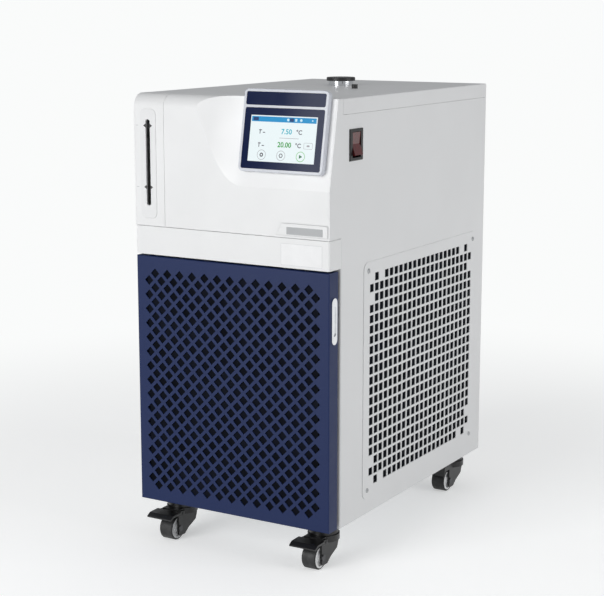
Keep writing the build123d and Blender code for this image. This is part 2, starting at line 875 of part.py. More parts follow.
def caster_hub(x, y):
    """The wheel's core with a shallow dish on each side and its axle bore."""
    rim = wheel_radius - tyre_depth
    side = wheel_width / 2 - 0.5
    dish = 2.0
    axis = Plane(origin=(x, y - caster_trail, wheel_radius), x_dir=(0, 1, 0), z_dir=(1, 0, 0))
    core = axis * Cylinder(rim, 2 * side)
    ring = axis * (Cylinder(rim - 3, dish) - Cylinder(7, dish))
    for end in (side - dish / 2, dish / 2 - side):
        core -= Pos(end, 0, 0) * ring
    return core - axis * Cylinder(axle_radius + running_clearance, wheel_width)


def caster_tyre(x, y):
    """The tread ring with bevelled edges."""
    axis = Plane(origin=(x, y - caster_trail, wheel_radius), x_dir=(0, 1, 0), z_dir=(1, 0, 0))
    tyre = axis * Cylinder(wheel_radius, wheel_width)
    tyre = chamfer(tyre.edges(), tyre_chamfer)
    return tyre - axis * Cylinder(wheel_radius - tyre_depth, wheel_width)


def caster_pedal(x, y):
    """The brake pedal: a wide blade ahead of the fork and two arms to its pivot."""
    ahead, height = pedal_pivot
    blade = [(38, 47.5), (38, 51), (60, 50.5), (pedal_reach, 46), (pedal_reach - 1, 43.5),
             (59, 47.2)]
    reach = pedal_width / 2
    pedal = profile([(y - a, z) for a, z in blade], (x - reach, x + reach))
    arm = [(ahead - 4, height - 4), (ahead - 4, height + 4), (42, 51), (42, 47.5),
           (ahead + 4, height - 4)]
    inner = leg_outside + 0.4
    for low in (x + inner, x - inner - pedal_arm):
        pedal += profile([(y - a, z) for a, z in arm], (low, low + pedal_arm))
    bore = pedal_pin_radius + running_clearance
    return pedal - rod((x - big, y - ahead, height), (1, 0, 0), bore, 2 * big)


# Inside

def port_places():
    """The x and z of the outlet, the inlet and the drain on the rear panel."""
    return [(outlet_x, hose_port_z), (inlet_x, hose_port_z), (pump_x, pump_axis_z)]


def pipe_passages():
    """The x, y and pipe radius of each hole in the mid shelf."""
    rise_y = pump_y[1] - pump_length / 16
    return [
        (outlet_x, rise_y, coolant_radius),
        (pump_x, pump_y[0] + pump_head / 2, coolant_radius),
        (outlet_x, liquid_rise_y(), refrigerant_radius),
        (compressor_x - compressor_radius / 3, compressor_y, refrigerant_radius),
    ]


def liquid_rise_y():
    """Where the liquid line goes up through the shelf, ahead of the pump and under the tank."""
    return (tank_y[0] + pump_y[0]) / 2


def condenser_coil():
    """The finned block behind the door, seated on the base pan."""
    x = (-condenser_width / 2, condenser_width / 2)
    y = (condenser_front, condenser_front + condenser_depth)
    core = block(x, y, (pan_floor, condenser_top))
    slits = []
    slit_z = (pan_floor + slit_margin, condenser_top - slit_margin)
    for step in range(int((condenser_width - slit_margin) / slit_pitch)):
        low = x[0] + slit_margin + step * slit_pitch
        slits.append(block((low, low + slit_width), (0, y[0] + slit_depth), slit_z))
    return core - slits


def shroud_y():
    start = condenser_front + condenser_depth
    return start, start + shroud_depth


def fan_shroud():
    """The box round the fan with its air ring and the cross bar that holds the motor."""
    y = shroud_y()
    x = (-condenser_width / 2, condenser_width / 2)
    shroud = block(x, y, (pan_floor, condenser_top))
    inner_x = (x[0] + sheet, x[1] - sheet)
    shroud -= block(inner_x, (y[0] + sheet, y[1]), (pan_floor + sheet, condenser_top - sheet))
    shroud -= rod((0, y[0] - 1, fan_centre_z), (0, 1, 0), fan_ring_radius, sheet + 2)
    bar = (fan_centre_z - motor_bar_height / 2, fan_centre_z + motor_bar_height / 2)
    return shroud + block(inner_x, (y[1] - motor_bar, y[1]), bar)


def fan_motor():
    """The fan's motor on the cross bar, with its shaft."""
    back = shroud_y()[1] - motor_bar
    motor = rod((0, back, fan_centre_z), (0, -1, 0), motor_radius, motor_length)
    shaft_length = back - shroud_y()[0] - 2 * fan_gap
    return motor + rod((0, back, fan_centre_z), (0, -1, 0), shaft_radius, shaft_length)


def fan_rotor():
    """The hub with pitched blades."""
    front = shroud_y()[0] + 2 * fan_gap
    length = fan_length
    hub = rod((0, front, fan_centre_z), (0, 1, 0), fan_hub_radius, length)
    blade_length = fan_radius - fan_hub_radius + fan_blade_root
    blade = Pos(0, 0, fan_radius - blade_length / 2) * (
        Rot(0, 0, fan_blade_pitch) * Box(*fan_blade_size, blade_length))
    for turn in range(fan_blades):
        place = Pos(0, front + length / 2, fan_centre_z) * Rot(0, 360 / fan_blades * turn, 0)
        hub += place * blade
    bore = rod((0, front - 1, fan_centre_z), (0, 1, 0), shaft_radius + running_clearance, length + 2)
    return hub - bore


def compressor():
    """The sealed compressor on its four feet."""
    base = (compressor_x, compressor_y, pan_floor + compressor_foot)
    shell = rod(base, (0, 0, 1), compressor_radius, compressor_height)
    shell = chamfer(shell.edges(), compressor_edge)
    reach = compressor_radius - compressor_edge
    shell += block((compressor_x - reach, compressor_x + reach),
                   (compressor_y - reach, compressor_y + reach), (base[2], base[2] + compressor_plate))
    span = 2 * (reach - 10)
    for place in GridLocations(span, span, 2, 2):
        x, y = compressor_x + place.position.X, compressor_y + place.position.Y
        shell += rod((x, y, pan_floor), (0, 0, 1), compressor_foot, compressor_foot)
    return shell


def compressor_top():
    return pan_floor + compressor_foot + compressor_height


def reservoir_tank():
    """The hollow coolant tank on the mid shelf, open at the top under the filler neck."""
    low = shelf_height + sheet
    tank = block(tank_x, tank_y, (low, tank_top))
    tank = fillet(tank.edges().filter_by(Axis.Z), tank_corner)
    inside = [(tank_x[0] + tank_wall, tank_x[1] - tank_wall),
              (tank_y[0] + tank_wall, tank_y[1] - tank_wall),
              (low + tank_wall, tank_top - tank_wall)]
    tank -= block(*inside)
    return tank - rod((filler_x, filler_y, tank_top + 1), (0, 0, -1), filler_bore, tank_wall + 2)


def circulation_pump():
    """The pump and its motor on a foot."""
    start = (pump_x, pump_y[0] + pump_head, pump_axis_z)
    pump = rod(start, (0, 1, 0), pump_radius, pump_length - pump_head)
    volute = (pump_x - pump_radius, pump_x + pump_radius)
    pump += block(volute, (pump_y[0], pump_y[0] + pump_head), (pan_floor, pump_axis_z + pump_radius))
    foot = (pump_x - pump_radius / 2, pump_x + pump_radius / 2)
    return pump + block(foot, (pump_y[1] - 40, pump_y[1] - 10), (pan_floor, pump_axis_z))


def tube(points, radius, bend):
    """A pipe along straight runs joined by bends."""
    if len(points) == 2:
        path = Line(*points)
    else:
        path = FilletPolyline(*points, radius=bend)
    start = Plane(origin=path @ 0, z_dir=path % 0)
    return sweep(start * Circle(radius), path=path)


def coolant_pipes():
    """Pump to outlet, tank to pump, tank to inlet and pump to drain."""
    rise_y = pump_y[1] - pump_length / 16
    nut = rear_inside - port_nut
    pump_top = pump_axis_z + pump_radius
    suction_y = pump_y[0] + pump_head / 2
    tank_floor = shelf_height + sheet
    delivery = [(outlet_x, rise_y, pump_top), (outlet_x, rise_y, hose_port_z),
                (outlet_x, nut, hose_port_z)]
    return [
        tube(delivery, coolant_radius, pipe_bend),
        tube([(pump_x, suction_y, pump_top), (pump_x, suction_y, tank_floor)], coolant_radius, 0),
        tube([(inlet_x, tank_y[1], hose_port_z), (inlet_x, nut, hose_port_z)], coolant_radius, 0),
        tube([(pump_x, pump_y[1], pump_axis_z), (pump_x, nut, pump_axis_z)], coolant_radius, 0),
    ]


def refrigerant_pipes():
    """Compressor to condenser, condenser to tank and tank to compressor."""
    over = condenser_top + pipe_rise
    front = condenser_front + condenser_depth / 2
    tank_floor = shelf_height + sheet
    hot = [(compressor_x, compressor_y, compressor_top()), (compressor_x, compressor_y, over),
           (compressor_x, front, over), (compressor_x, front, condenser_top)]
    rise = (outlet_x, liquid_rise_y())
    liquid = [(outlet_x, front, condenser_top), (outlet_x, front, over), (*rise, over),
              (*rise, tank_floor)]
    suction_x = compressor_x - compressor_radius / 3
    suction = [(suction_x, compressor_y, compressor_top()), (suction_x, compressor_y, tank_floor)]
    return [tube(hot, refrigerant_radius, pipe_bend), tube(liquid, refrigerant_radius, pipe_bend),
            tube(suction, refrigerant_radius, 0)]


def control_box():
    """The electrics box on the mid shelf behind the display, open only towards the shelf."""
    right = inner_half - control_side_gap
    x, y = (right - control_width, right), (control_front, control_front + control_length)
    low = shelf_height + sheet
    outside = block(x, y, (low, low + control_height))
    inner_x, inner_y = (x[0] + sheet, x[1] - sheet), (y[0] + sheet, y[1] - sheet)
    return outside - block(inner_x, inner_y, (low, low + control_height - sheet))


# Rear connections

def hose_port(x, z):
    """A bored stub for a hose fitting, with a six-sided flange outside the panel.

    Where the stub meets the flange it has the turned relief that ends its thread.
    """
    port = rod((x, rear_inside - port_nut, z), (0, 1, 0), port_nut_radius, port_nut)
    port += rod((x, rear_inside, z), (0, 1, 0), port_collar, sheet)
    port += extrude(upright(depth, x, z) * RegularPolygon(port_flange_radius, 6), -port_flange)
    port += rod((x, depth, z), (0, 1, 0), stub_radius - stub_relief, stub_reach)
    stub_start = depth + port_flange + stub_relief_length
    port += rod((x, stub_start, z), (0, 1, 0), stub_radius, stub_length)
    return port - rod((x, rear_inside, z), (0, 1, 0), stub_bore, sheet + stub_reach + 1)


def power_inlet():
    """The mains inlet with three flat pins deep in its cavity."""
    def section(size, y):
        x = (mains_inlet_x - size[0] / 2, mains_inlet_x + size[0] / 2)
        z = (mains_inlet_z - size[1] / 2, mains_inlet_z + size[1] / 2)
        return block(x, y, z)

    face = depth + mains_inlet_rim
    inlet = section(mains_inlet_size, (depth, face))
    body = [size - 2 * mains_inlet_rim for size in mains_inlet_size]
    inlet += section(body, (depth - mains_inlet_length, depth))
    floor = face - mains_cavity[2]
    inlet -= section(mains_cavity[:2], (floor, face + 1))
    for step in (-1, 0, 1):
        pin = section(mains_pin[:2], (floor, floor + mains_pin[2]))
        inlet += Pos(step * mains_pin_pitch, 0, 0) * pin
    return inlet


def build_nodes():
    """Every separate piece by name. A list holds the solids of one group."""
    nodes = {
        "base_pan": base_pan(),
        "left_side_panel": side_panel(-1),
        "right_side_panel": right_side_panel(),
        "rear_panel": rear_panel(),
        "top_cover": top_cover(),
        "mid_shelf": mid_shelf(),
        "front_moulding": front_moulding(),
        "gauge_strip": gauge_strip(),
        "gauge_plate": gauge_plate(),
        "sight_tube": sight_tube(),
        "sight_tube_fittings": sight_tube_fittings(),
        "front_band": front_band(),
        "display_housing": display_housing(),
        "display_header": display_header(),
        "display_bezel": display_bezel(),
        "display_screen": display_screen(),
        "door_skin": door_skin(),
        "door_filter": door_filter(),
        "door_hinges": door_hinges(),
        "door_pull": door_pull(),
        "vent_grille": vent_grille(),
        "vent_screws": vent_screws(),
        "switch_bezel": switch_bezel(),
        "switch_rocker": switch_rocker(),
        "filler_neck": filler_neck(),
        "filler_cap": filler_cap(),
        "vent_plug": vent_plug(),
        "condenser_coil": condenser_coil(),
        "fan_shroud": fan_shroud(),
        "fan_motor": fan_motor(),
        "fan_rotor": fan_rotor(),
        "compressor": compressor(),
        "reservoir_tank": reservoir_tank(),
        "circulation_pump": circulation_pump(),
        "coolant_pipes": coolant_pipes(),
        "refrigerant_pipes": refrigerant_pipes(),
        "control_box": control_box(),
        "outlet_port": hose_port(outlet_x, hose_port_z),
        "inlet_port": hose_port(inlet_x, hose_port_z),
        "drain_port": hose_port(pump_x, pump_axis_z),
        "power_inlet": power_inlet(),
        "caster_mounts": [caster_mount(x, y) for x, y in caster_places().values()],
    }
    for name, (x, y) in caster_places().items():
        braked = name.startswith("front")
        nodes[f"{name}_fork"] = caster_fork(x, y, braked)
        nodes[f"{name}_axle"] = caster_axle(x, y)
        nodes[f"{name}_hub"] = caster_hub(x, y)
        nodes[f"{name}_tyre"] = caster_tyre(x, y)
        if braked:
            nodes[f"{name}_pedal"] = caster_pedal(x, y)
    return nodes


def write_nodes(nodes):
    """Moves every piece to the final origin and writes it to its own file."""
    os.makedirs("parts", exist_ok=True)
    to_origin = Pos(-middle_x, -middle_y, 0)
    for name, shape in nodes.items():
        solids = shape if isinstance(shape, list) else [shape]
        placed = [to_origin * solid for body in solids for solid in body.solids()]
        whole = placed[0] if len(placed) == 1 else Compound(children=placed)
        export_step(whole, f"parts/{name}.step")


write_nodes(build_nodes())
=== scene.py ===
"""Finishes for a recirculating chiller: powder-coated cabinet, glossy moulded front, lit touch
panel, navy perforated door, screwed-on vent grille and nylon casters, on a pale studio floor.

Metres, +Z up, the front faces -Y. Sizes of the pieces added here are in millimetres (MM).
"""

import json
import math

import bmesh
import bpy
from mathutils import Matrix, Vector


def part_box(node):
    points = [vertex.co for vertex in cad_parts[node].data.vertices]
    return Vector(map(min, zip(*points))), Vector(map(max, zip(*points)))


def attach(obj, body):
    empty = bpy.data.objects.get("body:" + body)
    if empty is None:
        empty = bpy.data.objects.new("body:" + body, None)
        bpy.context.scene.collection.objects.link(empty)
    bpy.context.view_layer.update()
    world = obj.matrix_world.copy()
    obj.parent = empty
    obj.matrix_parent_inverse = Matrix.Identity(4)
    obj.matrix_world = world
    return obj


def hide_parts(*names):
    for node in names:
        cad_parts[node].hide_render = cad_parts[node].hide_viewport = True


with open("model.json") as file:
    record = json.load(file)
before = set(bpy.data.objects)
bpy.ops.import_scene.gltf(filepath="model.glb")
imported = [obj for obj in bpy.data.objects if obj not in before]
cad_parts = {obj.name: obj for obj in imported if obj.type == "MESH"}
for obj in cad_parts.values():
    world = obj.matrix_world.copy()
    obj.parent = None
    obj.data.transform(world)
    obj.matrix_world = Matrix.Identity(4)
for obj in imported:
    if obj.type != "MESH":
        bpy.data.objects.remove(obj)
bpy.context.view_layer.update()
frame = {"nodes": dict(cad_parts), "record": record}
nodes = frame["nodes"]

MM = 0.001
UP = Vector((0, 0, 1))


# Places read from the frame

def corners(name):
    """A node's lowest and highest corner."""
    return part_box(name)


DOOR_LOW, DOOR_HIGH = corners("door_skin")
CABINET_X = (DOOR_LOW.x + DOOR_HIGH.x) / 2
FRONT_Y = DOOR_LOW.y
SIDE_X = DOOR_HIGH.x
# The display leans back by this angle.
LEAN = math.radians(10.5)


def at(x, y, z):
    """A point given in millimetres from the cabinet's middle, the door's face and the floor."""
    return Vector((CABINET_X + x * MM, FRONT_Y + y * MM, z * MM))


# Camera, lamps and floor

CAMERA_PLACE = (1309.9, -1987.2, 883.0)
CAMERA_AZIMUTH = 30.658
CAMERA_PITCH = 10.804
FOCAL_PIXELS = 1539.5
PICTURE_WIDTH = 604
SENSOR = 36.0


def make_camera():
    data = bpy.data.cameras.new("camera")
    data.sensor_width = SENSOR
    data.lens = FOCAL_PIXELS / PICTURE_WIDTH * SENSOR
    camera = bpy.data.objects.new("camera", data)
    camera.location = at(*CAMERA_PLACE)
    camera.rotation_euler = (math.radians(90 - CAMERA_PITCH), 0, math.radians(CAMERA_AZIMUTH))
    bpy.context.scene.collection.objects.link(camera)
    bpy.context.scene.camera = camera


LAMP_TARGET = (0, 0, 0.40)

# Each lamp's name, its place and size in metres, and its power in watts
LAMPS = (
    ("front_softbox", (-0.75, -3.1, 1.15), (1.55, 1.9), 57),
    ("side_softbox", (3.1, 0.1, 1.0), (1.8, 1.8), 34),
    ("top_softbox", (0.2, 0.6, 3.0), (2.0, 2.0), 1.5),
)


def softbox(name, place, size, power):
    """A rectangular lamp that faces the middle of the machine."""
    data = bpy.data.lights.new(name, "AREA")
    data.shape = "RECTANGLE"
    data.size, data.size_y = size
    data.energy = power
    lamp = bpy.data.objects.new(name, data)
    lamp.location = Vector(place)
    towards = Vector(LAMP_TARGET) - Vector(place)
    lamp.rotation_euler = towards.to_track_quat("-Z", "Y").to_euler()
    bpy.context.scene.collection.objects.link(lamp)


def make_lamps():
    for lamp in LAMPS:
        softbox(*lamp)


BACKDROP = (0.955, 0.965, 0.962)
AMBIENT = (0.97, 0.985, 1.0)
AMBIENT_STRENGTH = 0.33
GLOSS = (0.95, 0.97, 1.0)
GLOSS_STRENGTH = 0.42


def combined(tree, operation, a, b):
    """A math node on a socket and a second socket or a number."""
    made = tree.nodes.new("ShaderNodeMath")
    made.operation = operation
    tree.links.new(a, made.inputs[0])
    if isinstance(b, float):
        made.inputs[1].default_value = b
    else:
        tree.links.new(b, made.inputs[1])
    return made.outputs[0]


def mixed(tree, factor, first, second):
    """The first shader where the factor is 0, and the second where it is 1."""
    made = tree.nodes.new("ShaderNodeMixShader")
    tree.links.new(factor, made.inputs[0])
    tree.links.new(first, made.inputs[1])
    tree.links.new(second, made.inputs[2])
    return made.outputs[0]


def seen_directly(tree):
    """A socket that is 1 for rays from the camera or through glass and 0 for others, and one
    that is 1 for glossy rays."""
    rays = tree.nodes.new("ShaderNodeLightPath").outputs
    direct = combined(tree, "MAXIMUM", rays["Is Camera Ray"], rays["Is Transmission Ray"])
    return direct, rays["Is Glossy Ray"]


def background(tree, color, strength=1.0):
    made = tree.nodes.new("ShaderNodeBackground")
    made.inputs["Color"].default_value = (*color, 1)
    made.inputs["Strength"].default_value = strength
    return made.outputs[0]


def make_world():
    """White where it is seen directly, with a weaker light on surfaces and in their gloss."""
    world = bpy.data.worlds.new("studio")
    bpy.context.scene.world = world
    world.use_nodes = True
    tree = world.node_tree
    tree.nodes.clear()
    direct, glossy = seen_directly(tree)
    ambient = background(tree, AMBIENT, AMBIENT_STRENGTH)
    gloss = background(tree, GLOSS, GLOSS_STRENGTH)
    indirect = mixed(tree, glossy, ambient, gloss)
    end = tree.nodes.new("ShaderNodeOutputWorld")
    tree.links.new(mixed(tree, direct, indirect, background(tree, BACKDROP)), end.inputs[0])


FLOOR_REACH = 7.0
FLOOR_PAINT = (0.80, 0.80, 0.80)
FLOOR_LIGHT = (0.97, 0.98, 0.98)
FLOOR_GLOW = 0.44
FADE_START = 0.55
FADE_END = 1.7


def make_floor():
    """A pale floor that keeps the machine's soft shadow and fades into the white background."""
    mesh = bpy.data.meshes.new("studio_floor")
    r = FLOOR_REACH
    mesh.from_pydata([(-r, -r, 0), (r, -r, 0), (r, r, 0), (-r, r, 0)], [], [(0, 1, 2, 3)])
    floor = bpy.data.objects.new("studio_floor", mesh)
    bpy.context.scene.collection.objects.link(floor)
    mat = bpy.data.materials.new("studio_floor")
    mat.use_nodes = True
    tree = mat.node_tree
    tree.nodes.clear()
    direct, glossy = seen_directly(tree)
    shown = combined(tree, "MAXIMUM", direct, glossy)
    paint = tree.nodes.new("ShaderNodeBsdfDiffuse")
    paint.inputs["Color"].default_value = (*FLOOR_PAINT, 1)
    glow = tree.nodes.new("ShaderNodeEmission")
    glow.inputs["Color"].default_value = (*FLOOR_LIGHT, 1)
    tree.links.new(combined(tree, "MULTIPLY", shown, FLOOR_GLOW), glow.inputs["Strength"])
    near = tree.nodes.new("ShaderNodeAddShader")
    tree.links.new(paint.outputs[0], near.inputs[0])
    tree.links.new(glow.outputs[0], near.inputs[1])
    far = tree.nodes.new("ShaderNodeEmission")
    far.inputs["Color"].default_value = (*BACKDROP, 1)
    place = tree.nodes.new("ShaderNodeTexCoord")
    distance = tree.nodes.new("ShaderNodeVectorMath")
    distance.operation = "LENGTH"
    tree.links.new(place.outputs["Object"], distance.inputs[0])
    fade = tree.nodes.new("ShaderNodeMapRange")
    fade.interpolation_type = "SMOOTHSTEP"
    fade.inputs["From Min"].default_value = FADE_START
    fade.inputs["From Max"].default_value = FADE_END
    tree.links.new(distance.outputs["Value"], fade.inputs["Value"])
    faded = combined(tree, "MULTIPLY", fade.outputs[0], shown)
    end = tree.nodes.new("ShaderNodeOutputMaterial")
    tree.links.new(mixed(tree, faded, near.outputs[0], far.outputs[0]), end.inputs[0])
    mesh.materials.append(mat)


# Materials

class Finish:
    """A Principled material with a few helpers for its texture nodes."""

    def __init__(self, name, color, roughness, metallic=0.0):
        self.material = bpy.data.materials.new(name)
        self.material.use_nodes = True
        self.tree = self.material.node_tree
        self.shader = self.tree.nodes["Principled BSDF"]
        self.color = color
        self.shader.inputs["Base Color"].default_value = (*color, 1)
        self.shader.inputs["Roughness"].default_value = roughness
        self.shader.inputs["Metallic"].default_value = metallic
        self.roughness = roughness
        self.place = self.tree.nodes.new("ShaderNodeTexCoord").outputs["Object"]
        self.height = None

    def link(self, a, b):
        self.tree.links.new(a, b)

    def node(self, kind, **settings):
        made = self.tree.nodes.new(kind)
        for key, value in settings.items():
            setattr(made, key, value)
        return made

    def mapped(self, scale=(1, 1, 1)):
        mapping = self.node("ShaderNodeMapping")
        mapping.inputs["Scale"].default_value = scale
        self.link(self.place, mapping.inputs["Vector"])
        return mapping.outputs[0]

    def noise(self, size, detail, scale=(1, 1, 1)):
        """Noise whose features measure about a size in metres."""
        noise = self.node("ShaderNodeTexNoise")
        noise.inputs["Scale"].default_value = 1 / size
        noise.inputs["Detail"].default_value = detail
        self.link(self.mapped(scale), noise.inputs["Vector"])
        return noise.outputs["Fac"]

    def range(self, value, low, high, start=0.3, end=0.7):
        """Stretches the middle of a noise over a low to high value."""
        spread = self.node("ShaderNodeMapRange")
        spread.inputs["From Min"].default_value = start
        spread.inputs["From Max"].default_value = end
        spread.inputs["To Min"].default_value = low
        spread.inputs["To Max"].default_value = high
        self.link(value, spread.inputs["Value"])
        return spread.outputs[0]

    def tint(self, factor, other):
        """Mixes the base colour towards another by a factor."""
        mix = self.node("ShaderNodeMix", data_type="RGBA")
        self.link(factor, mix.inputs["Factor"])
        base = self.shader.inputs["Base Color"]
        if base.is_linked:
            self.link(base.links[0].from_socket, mix.inputs["A"])
        else:
            mix.inputs["A"].default_value = (*self.color, 1)
        mix.inputs["B"].default_value = (*other, 1)
        self.link(mix.outputs["Result"], base)
        return self

    def mottle(self, size, amount, detail=2.0):
        """A slight unevenness of colour."""
        factor = self.range(self.noise(size, detail), 0, 1)
        return self.tint(factor, tuple(c * (1 - amount) for c in self.color))

    def sheen_spread(self, size, amount, scale=(1, 1, 1)):
        """Roughness that varies a little over the surface."""
        low, high = self.roughness - amount, self.roughness + amount
        self.link(self.range(self.noise(size, 2.0, scale), low, high),
                  self.shader.inputs["Roughness"])
        return self

    def relief(self, size, depth, detail=2.0, scale=(1, 1, 1)):
        """A fine surface relief of a real size and depth, added to what is there."""
        bump = self.node("ShaderNodeBump")
        bump.inputs["Strength"].default_value = 1.0
        bump.inputs["Distance"].default_value = depth
        self.link(self.noise(size, detail, scale), bump.inputs["Height"])
        if self.height:
            self.link(self.height, bump.inputs["Normal"])
        self.height = bump.outputs[0]
        self.link(self.height, self.shader.inputs["Normal"])
        return self

    def set(self, socket, value):
        self.shader.inputs[socket].default_value = value
        return self


def powder_coat(name, color, sheen=0.5):
    """Baked powder coat: a fine orange peel and hardly any colour change."""
    coat = Finish(name, color, 0.42)
    coat.set("Specular IOR Level", sheen)
    coat.mottle(0.18, 0.025).sheen_spread(0.05, 0.05)
    coat.relief(0.0016, 0.00003, 3.0)
    return coat.material


def moulded(name, color, roughness, grain=0.0009, depth=0.00002, mottling=0.04):
    """Injection-moulded plastic with a spark-eroded grain."""
    plastic = Finish(name, color, roughness)
    plastic.mottle(0.09, mottling).sheen_spread(0.03, 0.04)
    plastic.relief(grain, depth, 2.0)
    return plastic.material


def brushed(name, color, roughness, along=(1, 1, 40)):
    """Metal with fine parallel grinding lines."""
    metal = Finish(name, color, roughness, 1.0)
    metal.mottle(0.03, 0.12).sheen_spread(0.002, 0.09, along)
    metal.relief(0.0012, 0.000012, 2.0, along)
    return metal.material


def galvanised(name):
    """Zinc-coated sheet with a soft spangle."""
    zinc = Finish(name, (0.52, 0.54, 0.56), 0.42, 0.85)
    cells = zinc.node("ShaderNodeTexVoronoi")
    cells.inputs["Scale"].default_value = 90
    zinc.link(zinc.mapped(), cells.inputs["Vector"])
    zinc.tint(zinc.range(cells.outputs["Distance"], 0, 0.5, 0.1, 0.7), (0.36, 0.38, 0.40))
    zinc.sheen_spread(0.02, 0.08).relief(0.004, 0.00002)
    return zinc.material


def polished(name, color=(0.80, 0.81, 0.83), roughness=0.10):
    metal = Finish(name, color, roughness, 1.0)
    metal.mottle(0.01, 0.06).sheen_spread(0.006, 0.03).relief(0.003, 0.000004)
    return metal.material


def enamel(name, color, roughness):
    """Sprayed machine enamel with a slight sag and dust."""
    paint = Finish(name, color, roughness)
    paint.mottle(0.04, 0.25).sheen_spread(0.02, 0.07).relief(0.006, 0.00006)
    return paint.material


def filter_mesh(name):
    """A fine woven dust filter: dark crossing threads."""
    mesh = Finish(name, (0.003, 0.004, 0.007), 0.9)
    mesh.set("Specular IOR Level", 0.08)
    threads = mesh.node("ShaderNodeTexWave", wave_type="BANDS", bands_direction="X")
    threads.inputs["Scale"].default_value = 260
    mesh.link(mesh.mapped(), threads.inputs["Vector"])
    cross = mesh.node("ShaderNodeTexWave", wave_type="BANDS", bands_direction="Z")
    cross.inputs["Scale"].default_value = 260
    mesh.link(mesh.mapped(), cross.inputs["Vector"])
    weave = mesh.node("ShaderNodeMath", operation="MAXIMUM")
    mesh.link(threads.outputs["Fac"], weave.inputs[0])
    mesh.link(cross.outputs["Fac"], weave.inputs[1])
    mesh.tint(mesh.range(weave.outputs[0], 0, 1, 0.5, 1.0), (0.009, 0.011, 0.020))
    mesh.mottle(0.05, 0.3).relief(0.0012, 0.0001)
    return mesh.material


def clear_plastic(name):
    glass = Finish(name, (0.035, 0.037, 0.04), 0.10)
    glass.set("Transmission Weight", 0.5).set("IOR", 1.46)
    glass.mottle(0.02, 0.05).relief(0.004, 0.000004)
    return glass.material


def smoked_panel(name, color):
    """The display's back-printed overlay, with an anti-glare film that mirrors only a little."""
    panel = Finish(name, color, 0.12)
    panel.set("Specular IOR Level", 0.14)
    panel.mottle(0.06, 0.10).sheen_spread(0.05, 0.03).relief(0.03, 0.00002)
    return panel.material


SCREEN_SURFACE = 0.25
SCREEN_LIGHT = 2.9


def lit(name, color):
    """A lit field of the touch panel, with the panel's fine pixel grid. Most of it is light."""
    field = Finish(name, tuple(SCREEN_SURFACE * c for c in color), 0.3)
    field.set("Specular IOR Level", 0.15)
    grid = field.node("ShaderNodeTexChecker")
    grid.inputs["Scale"].default_value = 3400
    field.link(field.mapped(), grid.inputs["Vector"])
    field.tint(field.range(grid.outputs["Fac"], 0, 0.05, 0, 1), (0, 0, 0))
    base = field.shader.inputs["Base Color"]
    field.link(base.links[0].from_socket, field.shader.inputs["Emission Color"])
    field.set("Emission Strength", SCREEN_LIGHT)
    return field.material


def printed(name, color, roughness=0.45):
    """Screen print or sticker film with a faint texture, also used for the grey painted
    reflection dashes on the gauge strip.
    """
    ink = Finish(name, color, roughness)
    ink.mottle(0.02, 0.04).relief(0.0007, 0.00001)
    return ink.material


def tread(name):
    """Dark tyre compound, dusty and slightly scuffed."""
    rubber = Finish(name, (0.016, 0.016, 0.017), 0.55)
    rubber.tint(rubber.range(rubber.noise(0.008, 4.0), 0, 0.5, 0.5, 0.8), (0.06, 0.06, 0.06))
    rubber.sheen_spread(0.01, 0.10).relief(0.0012, 0.00005)
    return rubber.material


def red_rocker(name):
    """The rocker's translucent red moulding."""
    red = Finish(name, (0.11, 0.004, 0.004), 0.16)
    red.set("Coat Weight", 0.3)
    red.mottle(0.006, 0.35).sheen_spread(0.01, 0.05).relief(0.004, 0.00003)
    return red.material


def make_finishes():
    """One material for each slot of the record, and those of the pieces added here."""
    white = (0.80, 0.805, 0.81)
    return {
        "white_sheet": powder_coat("white_powder_coat", white),
        "galvanised_sheet": galvanised("galvanised_sheet"),
        "white_moulding": moulded("white_moulding", (0.815, 0.82, 0.822), 0.33),
        "gauge_grey": moulded("gauge_plate_plastic", (0.78, 0.785, 0.79), 0.38),
        "clear_tube": clear_plastic("clear_tube"),
        "fitting_black": moulded("fitting_black", (0.02, 0.02, 0.022), 0.45),
        "display_silver": moulded("display_silver", (0.60, 0.62, 0.67), 0.26, depth=0.00001),
        "display_navy": smoked_panel("display_navy", (0.004, 0.011, 0.052)),
        "screen": lit("screen_white", (0.86, 0.95, 0.97)),
        "door_blue": powder_coat("door_navy", (0.008, 0.020, 0.084), sheen=0.26),
        "filter_mesh": filter_mesh("filter_mesh"),
        "bright_metal": polished("bright_metal"),
        "plain_steel": brushed("plain_steel", (0.50, 0.51, 0.52), 0.34, (1, 1, 12)),
        "switch_black": moulded("switch_black", (0.006, 0.006, 0.0065), 0.30),
        "rocker_red": red_rocker("rocker_red"),
        "cap_black": moulded("cap_black", (0.016, 0.016, 0.017), 0.42),
        "coil_aluminium": brushed("fin_aluminium", (0.58, 0.59, 0.60), 0.38, (1, 1, 30)),
        "fan_black": moulded("fan_black", (0.02, 0.02, 0.022), 0.5),
        "motor_grey": enamel("motor_grey", (0.12, 0.125, 0.13), 0.42),
        "compressor_black": enamel("compressor_black", (0.012, 0.012, 0.013), 0.22),
        "tank_steel": brushed("tank_steel", (0.55, 0.56, 0.57), 0.30, (30, 1, 1)),
        "pump_iron": enamel("pump_iron", (0.05, 0.065, 0.085), 0.45),
        "copper": polished("copper_tube", (0.72, 0.36, 0.22), 0.30),
        "hose_black": moulded("hose_black", (0.015, 0.015, 0.016), 0.55),
        "port_brass": brushed("port_brass", (0.62, 0.50, 0.26), 0.28, (1, 30, 1)),
        "caster_black": moulded("caster_nylon", (0.006, 0.006, 0.0065), 0.32, 0.0012, 0.00003),
        "hub_grey": moulded("hub_grey", (0.86, 0.865, 0.87), 0.26),
        "tyre_black": tread("tyre_black"),
    }


